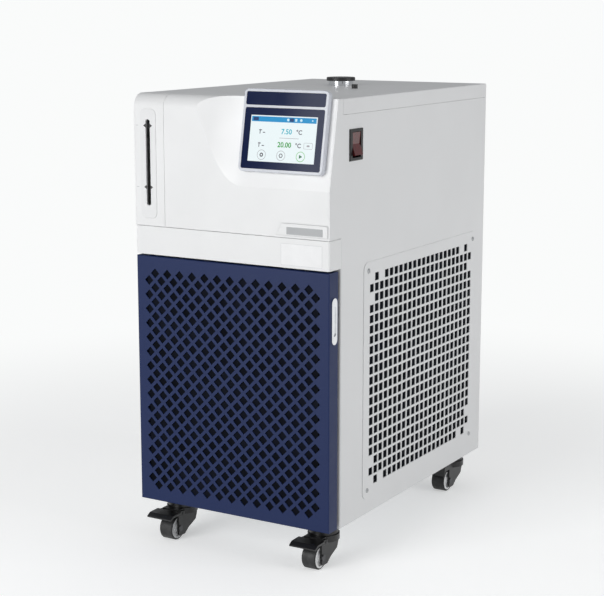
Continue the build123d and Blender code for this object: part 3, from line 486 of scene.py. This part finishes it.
def dress_nodes(finishes):
    """Every carried-over node gets the finish of its slot in the record, and the casters'
    axles a darker oiled steel than the screws."""
    oiled = brushed("oiled_steel", (0.10, 0.10, 0.105), 0.38, (1, 1, 12))
    for part in frame["record"]["subparts"]:
        node = nodes[part["node"]]
        node.data.materials.clear()
        is_axle = part["node"].endswith("_axle")
        node.data.materials.append(oiled if is_axle else finishes[part["material_slot"]])


# Mesh helpers

def as_mesh(name, bm):
    mesh = bpy.data.meshes.new(name)
    bm.normal_update()
    bm.to_mesh(mesh)
    bm.free()
    return mesh


def new_piece(name, bm, material, body="cabinet"):
    """Turns a bmesh that is in place into a flat-shaded piece that rides on a body."""
    mesh = as_mesh(name, bm)
    for face in mesh.polygons:
        face.use_smooth = False
    mesh.materials.append(material)
    piece = bpy.data.objects.new(name, mesh)
    bpy.context.scene.collection.objects.link(piece)
    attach(piece, body)


def prism(bm, outline, place, thickness):
    """A flat outline in a place's own X and Y, raised along its Z."""
    low = [bm.verts.new(place @ Vector((x, y, 0))) for x, y in outline]
    high = [bm.verts.new(place @ Vector((x, y, thickness))) for x, y in outline]
    bm.faces.new(list(reversed(low)))
    bm.faces.new(high)
    for i in range(len(outline)):
        j = (i + 1) % len(outline)
        bm.faces.new((low[i], low[j], high[j], high[i]))


def rounded(width, height, radius, steps, centre=(0, 0)):
    """The outline of a rectangle with round corners."""
    points = []
    for quarter in range(4):
        sx = 1 if quarter in (0, 3) else -1
        sy = 1 if quarter in (0, 1) else -1
        cx, cy = sx * (width / 2 - radius), sy * (height / 2 - radius)
        for step in range(steps + 1):
            a = math.radians(90 * (quarter + step / steps))
            points.append((centre[0] + cx + radius * math.cos(a),
                           centre[1] + cy + radius * math.sin(a)))
    return points


def disc(radius, steps, centre=(0, 0)):
    return [(centre[0] + radius * math.cos(2 * math.pi * i / steps),
             centre[1] + radius * math.sin(2 * math.pi * i / steps)) for i in range(steps)]


def scaled(points):
    """Points given in millimetres."""
    return [(x * MM, y * MM) for x, y in points]


def ring(bm, outer, inner, place, thickness):
    """A raised ring between two outlines with the same number of points."""
    count = len(outer)
    rows = []
    for outline, z in ((outer, 0), (outer, thickness), (inner, thickness), (inner, 0)):
        rows.append([bm.verts.new(place @ Vector((x, y, z))) for x, y in outline])
    for k in range(4):
        a, b = rows[k], rows[(k + 1) % 4]
        for i in range(count):
            j = (i + 1) % count
            bm.faces.new((a[i], a[j], b[j], b[i]))


def bevel_edges(bm, width):
    bmesh.ops.bevel(bm, geom=list(bm.edges), offset=width, segments=2, affect="EDGES",
                    clamp_overlap=True)


def facing(origin, x_axis, normal):
    """A place with its Z along a normal and its X along an axis."""
    z = Vector(normal).normalized()
    x = Vector(x_axis).normalized()
    y = z.cross(x)
    return Matrix.Translation(origin) @ Matrix((x, y, z)).transposed().to_4x4()


def on_front(x, z, stand=0.0):
    """A place on the upright front, in millimetres."""
    return facing(at(x, -stand, z), (1, 0, 0), (0, -1, 0))


# Display

SCREEN_WIDTH = 117.3
SCREEN_HEIGHT = 70.3
PRINT = 0.05
BOLD = 0.022
BAR_MARGIN = 1.5
BAR_TOP = 1.6
BAR_BOTTOM = 9.6
BAR_FIELD_HEIGHT = 5.2
DIGIT_HEIGHT = 11.0
UNIT_HEIGHT = 9.5
UNIT_ACROSS = 0.70
STROKE = 1.3

# Each reading's name and figures, its shares across and down the screen, and its colour
READINGS = (
    ("upper", "7.50", 0.475, 0.335, (0.05, 0.48, 0.60)),
    ("lower", "20.00", 0.435, 0.62, (0.04, 0.36, 0.06)),
)

# Shares across and down the screen
LINE_SPOT = (0.60, 0.475)
BOX_SPOT = (0.895, 0.62)
KEYS_ACROSS = (0.205, 0.50, 0.795)
KEYS_DOWN = 0.855
KEY_SIDES = 40


def screen_place():
    """The place of the screen's middle on its outer face."""
    low, high = corners("display_screen")
    normal = Vector((0, -math.cos(LEAN), math.sin(LEAN)))
    centre = (low + high) / 2
    vertices = [v.co for v in nodes["display_screen"].data.vertices]
    outer = max(v.dot(normal) for v in vertices)
    centre += normal * (outer - centre.dot(normal))
    return facing(centre, (1, 0, 0), normal)


def text_mesh(bm, words, height, place, x, y):
    """Plain characters as raised outlines, from their left lower corner."""
    data = bpy.data.curves.new("characters", "FONT")
    data.body = words
    data.size = height * MM
    data.offset = BOLD * height * MM
    data.extrude = PRINT * MM / 2
    data.resolution_u = 3
    item = bpy.data.objects.new("characters", data)
    bpy.context.scene.collection.objects.link(item)
    bpy.context.view_layer.update()
    mesh = bpy.data.meshes.new_from_object(item)
    bpy.data.objects.remove(item)
    mesh.transform(place @ Matrix.Translation((x * MM, y * MM, PRINT * MM / 2)))
    bm.from_mesh(mesh)
    bpy.data.meshes.remove(mesh)


def spot(across, down):
    """A point in millimetres from the screen's middle, by its shares across and down."""
    return (across - 0.5) * SCREEN_WIDTH, (0.5 - down) * SCREEN_HEIGHT


def flat(bm, outline, place):
    """A thin flat shape of the picture, its outline in millimetres."""
    prism(bm, scaled(outline), place, PRINT * MM)


def band(bm, outer, inner, place):
    """A thin flat band of the picture between two outlines in millimetres."""
    ring(bm, scaled(outer), scaled(inner), place, PRINT * MM)


def round_band(bm, outer, inner, sides, centre, place):
    band(bm, disc(outer, sides, centre), disc(inner, sides, centre), place)


def show(name, bm, ink, color):
    """Adds a lit piece to the touch panel's picture."""
    new_piece(f"screen_{name}", bm, lit(f"screen_{ink}", color))


def screen_bar(place):
    """The blue bar at the top, with two dark fields and four small marks on it."""
    side, top = SCREEN_WIDTH / 2 - BAR_MARGIN, SCREEN_HEIGHT / 2
    bar = bmesh.new()
    flat(bar, [(-side, top - BAR_BOTTOM), (side, top - BAR_BOTTOM),
               (side, top - BAR_TOP), (-side, top - BAR_TOP)], place)
    show("bar", bar, "blue", (0.013, 0.29, 0.61))

    above = place @ Matrix.Translation((0, 0, PRINT * MM))
    left, y = -SCREEN_WIDTH / 2, top - (BAR_TOP + BAR_BOTTOM) / 2
    dark = bmesh.new()
    for width, x in ((9.5, 9), (7.0, 0.62 * SCREEN_WIDTH)):
        flat(dark, rounded(width, BAR_FIELD_HEIGHT, 0.8, 3, (left + x, y)), above)
    show("bar_keys", dark, "navy", (0.014, 0.05, 0.17))
    icons = bmesh.new()
    flat(icons, disc(2.1, 24, (left + 0.565 * SCREEN_WIDTH, y)), above)
    flat(icons, rounded(3.6, 4.2, 0.6, 3, (left + 0.685 * SCREEN_WIDTH, y)), above)
    flat(icons, disc(2.1, 24, (left + 0.76 * SCREEN_WIDTH, y)), above)
    flat(icons, disc(1.2, 20, (left + 0.93 * SCREEN_WIDTH, y)), above)
    show("icons", icons, "pale", (0.62, 0.86, 0.95))


def screen_readings(place):
    """The two readings, each with its unit on the right and three strokes on the left."""
    units = bmesh.new()
    for name, number, across, down, color in READINGS:
        x, y = spot(across, down)
        digits = bmesh.new()
        text_mesh(digits, number, DIGIT_HEIGHT, place, x, y - 3.6)
        show(f"reading_{name}", digits, name, color)
        text_mesh(units, "°C", UNIT_HEIGHT, place, spot(UNIT_ACROSS, down)[0], y - 3.4)
        for length, across_stroke, rise in ((5.4, 0.16, 1.2), (4.2, 0.215, -2.4)):
            centre = (spot(across_stroke, down)[0], y + rise)
            flat(units, rounded(length, STROKE, 0.5, 2, centre), place)
        flat(units, rounded(STROKE, 7.0, 0.5, 2, (spot(0.155, down)[0], y - 1.2)), place)
    show("units", units, "grey", (0.10, 0.09, 0.12))


def screen_keys(place):
    """A faint line and box, and three round keys with their symbols."""
    first, second, start = [spot(across, KEYS_DOWN) for across in KEYS_ACROSS]
    box = spot(*BOX_SPOT)
    faint = bmesh.new()
    flat(faint, rounded(34, 0.7, 0.3, 2, spot(*LINE_SPOT)), place)
    band(faint, rounded(15.5, 9.5, 1.6, 4, box), rounded(14.5, 8.5, 1.2, 4, box), place)
    flat(faint, rounded(5, 2.6, 0.8, 3, box), place)
    for centre in (first, second):
        round_band(faint, 7.7, 7.0, KEY_SIDES, centre, place)
    show("faint", faint, "light_grey", (0.38, 0.37, 0.40))

    symbols = bmesh.new()
    round_band(symbols, 3.3, 1.5, 8, first, place)
    round_band(symbols, 3.6, 2.3, 6, second, place)
    show("symbols", symbols, "dark", (0.07, 0.06, 0.08))

    start_ring = bmesh.new()
    round_band(start_ring, 7.9, 6.7, KEY_SIDES, start, place)
    show("start_ring", start_ring, "light_green", (0.35, 0.66, 0.36))
    arrow = bmesh.new()
    x, y = start
    flat(arrow, [(x - 2.3, y - 3), (x + 3.1, y), (x - 2.3, y + 3)], place)
    show("start_arrow", arrow, "green", (0.015, 0.16, 0.05))


def display_content():
    """The touch panel's picture: a blue bar, two readings and three round keys."""
    place = screen_place()
    screen_bar(place)
    screen_readings(place)
    screen_keys(place)


# Front details

GAUGE_LEVELS = (595.2, 693.5)
MARK_OUTLINE = ((3.4, -3.4), (8.0, -0.5), (8.0, 0.5), (3.4, 3.4))
MARK_THICKNESS = 0.15
# Grey dashes on the gauge strip's rounded left edge: a painted reflection of the level marks, not
# print.
REFLECTION_X = -174.5
REFLECTION_SIZE = (5.0, 0.8)
REFLECTION_THICKNESS = 0.12


def gauge_marks(finish):
    """The level marks printed on both sides of the gauge's slot, and at each level a grey dash on
    the strip's left edge, a painted reflection of the marks."""
    low, high = corners("gauge_plate")
    x = ((low.x + high.x) / 2 - CABINET_X) / MM
    y = (low.y - FRONT_Y) / MM
    marks = bmesh.new()
    painted_reflections = bmesh.new()
    for z in GAUGE_LEVELS:
        for side in (-1, 1):
            outline = [(side * a, b) for a, b in MARK_OUTLINE]
            if side < 0:
                outline.reverse()
            prism(marks, scaled(outline), on_front(x, z, -y), MARK_THICKNESS * MM)
        prism(painted_reflections, scaled(rounded(*REFLECTION_SIZE, 0.3, 2)), on_front(REFLECTION_X, z),
              REFLECTION_THICKNESS * MM)
    new_piece("gauge_marks", marks, finish)
    # The grey dashes are a painted reflection of the level marks on the strip's rounded edge.
    new_piece("strip_dashes", painted_reflections, printed("painted_reflection_grey", (0.50, 0.51, 0.52), 0.4))


LABEL_PLACE = (130.8, 507.5)
LABEL_SIZE = (72.4, 33.0)
LABEL_THICKNESS = 0.15
LABEL_EDGE_OUT = 0.6
LABEL_EDGE_IN = 0.4
LABEL_EDGE_THICKNESS = 0.2
FIELD_OUTLINE = ((85.7, 536.6), (177.3, 536.6), (177.3, 555.6), (96.2, 555.6))
FIELD_THICKNESS = 0.7
FIELD_BEVEL = 0.35
PLATE_PLACE = (136.6, 544.3)
PLATE_SIZE = (63.4, 11.4)
PLATE_THICKNESS = 0.3


def front_plates(finishes):
    """The bare label on the band, and the raised field with its bare grey plate above it."""
    width, height = LABEL_SIZE
    label = bmesh.new()
    prism(label, scaled(rounded(width, height, 0.8, 3)), on_front(*LABEL_PLACE),
          LABEL_THICKNESS * MM)
    new_piece("band_label", label, printed("label_white", (0.86, 0.865, 0.87), 0.35))
    edge = bmesh.new()
    outer = rounded(width + LABEL_EDGE_OUT, height + LABEL_EDGE_OUT, 1.0, 3)
    inner = rounded(width - LABEL_EDGE_IN, height - LABEL_EDGE_IN, 0.6, 3)
    ring(edge, scaled(outer), scaled(inner), on_front(*LABEL_PLACE), LABEL_EDGE_THICKNESS * MM)
    new_piece("band_label_edge", edge, printed("label_edge", (0.66, 0.67, 0.68), 0.4))

    field = bmesh.new()
    prism(field, scaled(FIELD_OUTLINE), on_front(0, 0), FIELD_THICKNESS * MM)
    bevel_edges(field, FIELD_BEVEL * MM)
    new_piece("plate_field", field, finishes["white_moulding"])
    plate = bmesh.new()
    prism(plate, scaled(rounded(*PLATE_SIZE, 0.5, 3)), on_front(*PLATE_PLACE, FIELD_THICKNESS),
          PLATE_THICKNESS * MM)
    new_piece("bare_plate", plate, printed("plate_grey", (0.42, 0.43, 0.44), 0.4))


# Repeated pieces made with geometry nodes

class Tree:
    """A geometry node tree with named inputs."""

    def __init__(self, name):
        self.group = bpy.data.node_groups.new(name, "GeometryNodeTree")
        self.group.interface.new_socket("Geometry", in_out="INPUT",
                                        socket_type="NodeSocketGeometry")
        self.group.interface.new_socket("Geometry", in_out="OUTPUT",
                                        socket_type="NodeSocketGeometry")
        self.start = self.group.nodes.new("NodeGroupInput")
        self.end = self.group.nodes.new("NodeGroupOutput")
        self.values = {}

    def input(self, name, value):
        """A named number input. Returns its socket inside the tree."""
        kind = "NodeSocketInt" if isinstance(value, int) else "NodeSocketFloat"
        socket = self.group.interface.new_socket(name, in_out="INPUT", socket_type=kind)
        self.values[socket.identifier] = value
        return self.start.outputs[name]

    def node(self, kind, links=(), **settings):
        made = self.group.nodes.new(kind)
        for key, value in settings.items():
            setattr(made, key, value)
        for key, value in dict(links).items():
            socket = made.inputs[key]
            if isinstance(value, bpy.types.NodeSocket):
                self.group.links.new(value, socket)
            else:
                socket.default_value = value
        return made

    def math(self, operation, a, b=0.0):
        made = self.node("ShaderNodeMath", {0: a, 1: b}, operation=operation)
        return made.outputs[0]

    def finish(self, geometry, material):
        """Realizes the instances, sets the material and ends the tree."""
        real = self.node("GeometryNodeRealizeInstances", {"Geometry": geometry})
        done = self.node("GeometryNodeSetMaterial",
                         {"Geometry": real.outputs[0], "Material": material})
        self.group.links.new(done.outputs[0], self.end.inputs[0])

    def piece(self, name, base, body, slot):
        """Runs the tree on a base mesh and turns the result into a plain piece."""
        carrier = bpy.data.objects.new(name, base)
        bpy.context.scene.collection.objects.link(carrier)
        modifier = carrier.modifiers.new("nodes", "NODES")
        modifier.node_group = self.group
        for identifier, value in self.values.items():
            modifier[identifier] = value
        bpy.context.view_layer.update()
        evaluated = carrier.evaluated_get(bpy.context.evaluated_depsgraph_get())
        mesh = bpy.data.meshes.new_from_object(evaluated)
        carrier.modifiers.remove(modifier)
        carrier.data = mesh
        mesh.name = name
        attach(carrier, body)
        return carrier


GRILLE_COLUMNS = 23
GRILLE_ROWS = 21
GRILLE_PITCH = 16.8
GRILLE_HOLE = 12.9
GRILLE_CORNER = 13.0
MERGE_DISTANCE = 0.02


def grille_border(width, height, radius):
    """The flat rim round the holes, with the field's edge divided at every hole."""
    bm = bmesh.new()
    inner = []
    half_w, half_h = GRILLE_COLUMNS * GRILLE_PITCH / 2, GRILLE_ROWS * GRILLE_PITCH / 2
    for i in range(GRILLE_COLUMNS):
        inner.append((-half_w + i * GRILLE_PITCH, -half_h))
    for j in range(GRILLE_ROWS):
        inner.append((half_w, -half_h + j * GRILLE_PITCH))
    for i in range(GRILLE_COLUMNS):
        inner.append((half_w - i * GRILLE_PITCH, half_h))
    for j in range(GRILLE_ROWS):
        inner.append((-half_w, half_h - j * GRILLE_PITCH))
    loops = []
    for outline in (rounded(width, height, radius, 6), inner):
        verts = [bm.verts.new((x * MM, y * MM, 0)) for x, y in outline]
        count = len(verts)
        loops += [bm.edges.new((verts[i], verts[(i + 1) % count])) for i in range(count)]
    bmesh.ops.triangle_fill(bm, use_beauty=True, edges=loops, normal=(0, 0, 1))
    for face in bm.faces:
        if face.normal.z < 0:
            face.normal_flip()
    return as_mesh("grille_rim", bm)


def joined(tree, *parts):
    join = tree.node("GeometryNodeJoinGeometry")
    for part in parts:
        tree.group.links.new(part, join.inputs[0])
    return join.outputs[0]


def vent_grille(finish):
    """The screwed-on grille: a field of square holes, stepped out at its four corners."""
    low, high = corners("vent_grille")
    tree = Tree("punched_grille")
    columns = tree.input("Columns", GRILLE_COLUMNS)
    rows = tree.input("Rows", GRILLE_ROWS)
    pitch = tree.input("Pitch", GRILLE_PITCH * MM)
    share = tree.input("Hole share", GRILLE_HOLE / GRILLE_PITCH)
    thickness = tree.input("Thickness", high.x - low.x)
    width, height = tree.math("MULTIPLY", columns, pitch), tree.math("MULTIPLY", rows, pitch)
    grid = tree.node("GeometryNodeMeshGrid", {
        "Size X": width, "Size Y": height,
        "Vertices X": tree.math("ADD", columns, 1.0), "Vertices Y": tree.math("ADD", rows, 1.0)})
    place = tree.node("ShaderNodeSeparateXYZ", {
        "Vector": tree.node("GeometryNodeInputPosition").outputs[0]})

    def from_edge(axis, count):
        """How many holes lie between this one and the nearer side of the field."""
        cells = tree.math("DIVIDE", tree.math("ABSOLUTE", place.outputs[axis]), pitch)
        last = tree.math("DIVIDE", tree.math("SUBTRACT", count, 1.0), 2.0)
        return tree.math("SUBTRACT", last, cells)

    i, j = from_edge("X", columns), from_edge("Y", rows)
    total, product = tree.math("ADD", i, j), tree.math("MULTIPLY", i, j)
    at_corner = tree.math("LESS_THAN", total, 0.5)
    two_in = tree.math("LESS_THAN", tree.math("ABSOLUTE", tree.math("SUBTRACT", total, 2.0)), 0.5)
    on_edge = tree.math("LESS_THAN", product, 0.5)
    closed = tree.math("MAXIMUM", at_corner, tree.math("MULTIPLY", two_in, on_edge))
    punched = tree.math("SUBTRACT", 1.0, closed)
    inset = tree.node("GeometryNodeExtrudeMesh", {
        "Mesh": grid.outputs["Mesh"], "Selection": punched, "Offset Scale": 0.0,
        "Individual": True}, mode="FACES")
    shrunk = tree.node("GeometryNodeScaleElements", {
        "Geometry": inset.outputs["Mesh"], "Selection": inset.outputs["Top"], "Scale": share},
        domain="FACE")
    holes = tree.node("GeometryNodeDeleteGeometry", {
        "Geometry": shrunk.outputs[0], "Selection": inset.outputs["Top"]}, domain="FACE")
    sheet = tree.node("GeometryNodeMergeByDistance", {
        "Geometry": joined(tree, holes.outputs[0], tree.start.outputs["Geometry"]),
        "Distance": MERGE_DISTANCE * MM})
    raised = tree.node("GeometryNodeExtrudeMesh", {
        "Mesh": sheet.outputs[0], "Offset Scale": thickness, "Individual": False}, mode="FACES")
    back = tree.node("GeometryNodeFlipFaces", {"Mesh": sheet.outputs[0]})
    closed_sheet = tree.node("GeometryNodeMergeByDistance", {
        "Geometry": joined(tree, raised.outputs["Mesh"], back.outputs[0]),
        "Distance": MERGE_DISTANCE * MM})
    tree.finish(closed_sheet.outputs[0], finish)

    centre = Vector((low.x, (low.y + high.y) / 2, (low.z + high.z) / 2))
    rim = grille_border((high.y - low.y) / MM, (high.z - low.z) / MM, GRILLE_CORNER)
    piece = tree.piece("vent_grille_sheet", rim, "cabinet", "white_sheet")
    piece.data.transform(facing(centre, (0, 1, 0), (1, 0, 0)))
    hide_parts("vent_grille")


# The screw head's outline as shares of its radius and height
HEAD_PROFILE = ((1, 0), (1, 0.35), (0.86, 0.80), (0.62, 1))
HEAD_SIDES = 24

# The cross recess: its arms' reach and half width as shares of the radius, the narrowing of its
# floor, and the floor's height as a share of the head's
CROSS_REACH = 0.42
CROSS_HALF_WIDTH = 0.11
CROSS_NARROWING = 0.7
CROSS_FLOOR = 0.45


def screw_mesh(radius, height):
    """A pan-head screw with a cross recess, its head towards +Z."""
    bm = bmesh.new()
    rows = []
    for across, up in HEAD_PROFILE:
        rows.append([bm.verts.new((x, y, height * up))
                     for x, y in disc(radius * across, HEAD_SIDES)])
    for a, b in zip(rows, rows[1:]):
        for k in range(HEAD_SIDES):
            m = (k + 1) % HEAD_SIDES
            bm.faces.new((a[k], a[m], b[m], b[k]))
    bm.faces.new(list(reversed(rows[0])))
    arm, bar = radius * CROSS_REACH, radius * CROSS_HALF_WIDTH
    cross = []
    for quarter in range(4):
        turn = Matrix.Rotation(math.pi / 2 * quarter, 2)
        for point in ((bar, bar), (bar, arm), (-bar, arm)):
            cross.append(turn @ Vector(point))
    top = [bm.verts.new((p.x, p.y, height)) for p in cross]
    floor = [bm.verts.new((p.x * CROSS_NARROWING, p.y * CROSS_NARROWING, height * CROSS_FLOOR))
             for p in cross]
    count = len(cross)
    edges = [bm.edges.new((top[k], top[(k + 1) % count])) for k in range(count)]
    rim = [bm.edges.get((rows[-1][k], rows[-1][(k + 1) % HEAD_SIDES]))
           for k in range(HEAD_SIDES)]
    bmesh.ops.triangle_fill(bm, use_beauty=True, edges=edges + rim, normal=(0, 0, 1))
    for k in range(count):
        m = (k + 1) % count
        bm.faces.new((top[m], top[k], floor[k], floor[m]))
    bm.faces.new(floor)
    bmesh.ops.recalc_face_normals(bm, faces=list(bm.faces))
    return as_mesh("screw", bm)


FIRST_TURN = 0.4
NEXT_TURN = 1.3


def screws(name, places, radius, height, finish, replaced=None):
    """Screws set on given places by instancing one head on points."""
    head = bpy.data.objects.new(f"{name}_head", screw_mesh(radius, height))
    bpy.context.scene.collection.objects.link(head)
    points = bpy.data.meshes.new(name)
    points.from_pydata([place.translation for place in places], [], [])
    points.attributes.new("facing", "FLOAT_VECTOR", "POINT")
    points.attributes.new("spin", "FLOAT", "POINT")
    for index, place in enumerate(places):
        points.attributes["facing"].data[index].vector = place.to_3x3() @ UP
        points.attributes["spin"].data[index].value = FIRST_TURN + NEXT_TURN * index
    tree = Tree(name)
    source = tree.node("GeometryNodeObjectInfo", {"Object": head})
    read = tree.node("GeometryNodeInputNamedAttribute", {"Name": "facing"},
                     data_type="FLOAT_VECTOR")
    angle = tree.node("GeometryNodeInputNamedAttribute", {"Name": "spin"}, data_type="FLOAT")
    align = tree.node("FunctionNodeAlignRotationToVector", {"Vector": read.outputs["Attribute"]},
                      axis="Z")
    turn = tree.node("FunctionNodeAxisAngleToRotation", {
        "Axis": (0, 0, 1), "Angle": angle.outputs["Attribute"]})
    both = tree.node("FunctionNodeRotateRotation", {
        "Rotation": align.outputs[0], "Rotate By": turn.outputs[0]}, rotation_space="LOCAL")
    dots = tree.node("GeometryNodeMeshToPoints", {"Mesh": tree.start.outputs["Geometry"]})
    instances = tree.node("GeometryNodeInstanceOnPoints", {
        "Points": dots.outputs[0], "Instance": source.outputs["Geometry"],
        "Rotation": both.outputs[0]})
    tree.finish(instances.outputs[0], finish)
    piece = tree.piece(name, points, "cabinet", "plain_steel")
    bpy.data.objects.remove(head)
    if replaced:
        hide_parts(replaced)


VENT_SCREW_RADIUS = 4.0
REAR_SCREW_RADIUS = 3.4
REAR_SCREW_HEIGHT = 1.4

# Places on the rear panel: along its top and bottom, then down its two sides
REAR_SCREWS = [(x, z) for x in (-170, -60, 60, 170) for z in (84, 706)]
REAR_SCREWS += [(x, z) for x in (-170, 170) for z in (290, 500)]


def all_screws(finish):
    """The grille's four screws and those of the rear panel."""
    low, high = corners("vent_screws")
    radius = VENT_SCREW_RADIUS * MM
    places = [facing((low.x, y, z), (0, 1, 0), (1, 0, 0))
              for y in (low.y + radius, high.y - radius)
              for z in (low.z + radius, high.z - radius)]
    screws("grille_screws", places, radius, high.x - low.x, finish, replaced="vent_screws")

    rear_y = corners("rear_panel")[1].y
    rear = [facing((CABINET_X + x * MM, rear_y, z * MM), (1, 0, 0), (0, 1, 0))
            for x, z in REAR_SCREWS]
    screws("rear_screws", rear, REAR_SCREW_RADIUS * MM, REAR_SCREW_HEIGHT * MM, finish)


def repeated(name, base, start, step, count, finish, slot):
    """A base mesh set out in a row by geometry nodes."""
    tree = Tree(name)
    row = tree.node("GeometryNodeMeshLine", {
        "Count": tree.input("Count", count), "Start Location": start, "Offset": step})
    dots = tree.node("GeometryNodeMeshToPoints", {"Mesh": row.outputs[0]})
    copies = tree.node("GeometryNodeInstanceOnPoints", {
        "Points": dots.outputs[0], "Instance": tree.start.outputs["Geometry"]})
    tree.finish(copies.outputs[0], finish)
    tree.piece(name, base, "cabinet", slot)


FIN_PITCH = 3.0
FIN_THICKNESS = 0.3
FIN_DEPTH = 3.0
FIN_MARGIN = 12.0


def condenser_fins(finish):
    """The thin upright fins on the front of the condenser."""
    low, high = corners("condenser_coil")
    margin = FIN_MARGIN * MM
    height = high.z - low.z - 2 * margin
    fin = bmesh.new()
    bmesh.ops.create_cube(fin, size=1, matrix=Matrix.Diagonal(
        (FIN_THICKNESS * MM, FIN_DEPTH * MM, height, 1)))
    count = int((high.x - low.x - 2 * margin) / (FIN_PITCH * MM))
    start = Vector((low.x + margin, low.y - FIN_DEPTH / 2 * MM, (low.z + high.z) / 2))
    repeated("condenser_fins", as_mesh("fin", fin), start, (FIN_PITCH * MM, 0, 0), count, finish,
             "coil_aluminium")


STUB_RADIUS = 8.0
STUB_LENGTH = 24.0
THREAD_PITCH = 1.5
THREAD_DEPTH = 0.35
THREAD_SIDES = 40

# The ridges' feet lie this deep in the stub.
ROOT_SINK = 0.1


def thread_ridge():
    """One ridge round the stub, with its crest in the middle and open inside."""
    ridge = bmesh.new()
    place = facing(Vector((0, 0, 0)), (1, 0, 0), (0, 1, 0))
    crest = [ridge.verts.new(place @ Vector((a * MM, b * MM, 0)))
             for a, b in disc(STUB_RADIUS + THREAD_DEPTH, THREAD_SIDES)]
    for side in (-1, 1):
        root = [ridge.verts.new(place @ Vector((a * MM, b * MM, side * THREAD_PITCH / 2 * MM)))
                for a, b in disc(STUB_RADIUS - ROOT_SINK, THREAD_SIDES)]
        for i in range(THREAD_SIDES):
            j = (i + 1) % THREAD_SIDES
            face = (crest[i], crest[j], root[j], root[i])
            ridge.faces.new(face if side < 0 else face[::-1])
    bmesh.ops.recalc_face_normals(ridge, faces=list(ridge.faces))
    return as_mesh("ridge", ridge)


def stub_threads(finish):
    """The thread ridges on the three stubs of the rear panel."""
    count = int((STUB_LENGTH - 2 * THREAD_PITCH) / THREAD_PITCH)
    for name in ("outlet_port", "inlet_port", "drain_port"):
        low, high = corners(name)
        start = Vector(((low.x + high.x) / 2, high.y - STUB_LENGTH * MM + THREAD_PITCH * MM,
                        (low.z + high.z) / 2))
        repeated(f"{name}_thread", thread_ridge(), start, (0, THREAD_PITCH * MM, 0), count,
                 finish, "port_brass")


PAD_MARGIN = 20.0
PAD_CORNER = 4.0
PAD_BACK = 2.0
PAD_THICKNESS = 1.6


def vent_pad(finish):
    """The dark filter pad behind the side grille's holes."""
    low, high = corners("vent_grille")
    margin = PAD_MARGIN * MM
    bm = bmesh.new()
    centre = Vector((SIDE_X - PAD_BACK * MM, (low.y + high.y) / 2, (low.z + high.z) / 2))
    outline = rounded(high.y - low.y - 2 * margin, high.z - low.z - 2 * margin,
                      PAD_CORNER * MM, 4)
    prism(bm, outline, facing(centre, (0, 1, 0), (1, 0, 0)), PAD_THICKNESS * MM)
    new_piece("vent_filter_pad", bm, finish)


make_camera()
make_lamps()
make_world()
make_floor()
bpy.context.scene.view_settings.view_transform = "Standard"
finishes = make_finishes()
dress_nodes(finishes)
display_content()
gauge_marks(finishes["fitting_black"])
front_plates(finishes)
vent_grille(finishes["white_sheet"])
all_screws(finishes["plain_steel"])
vent_pad(finishes["filter_mesh"])
condenser_fins(finishes["coil_aluminium"])
stub_threads(finishes["port_brass"])
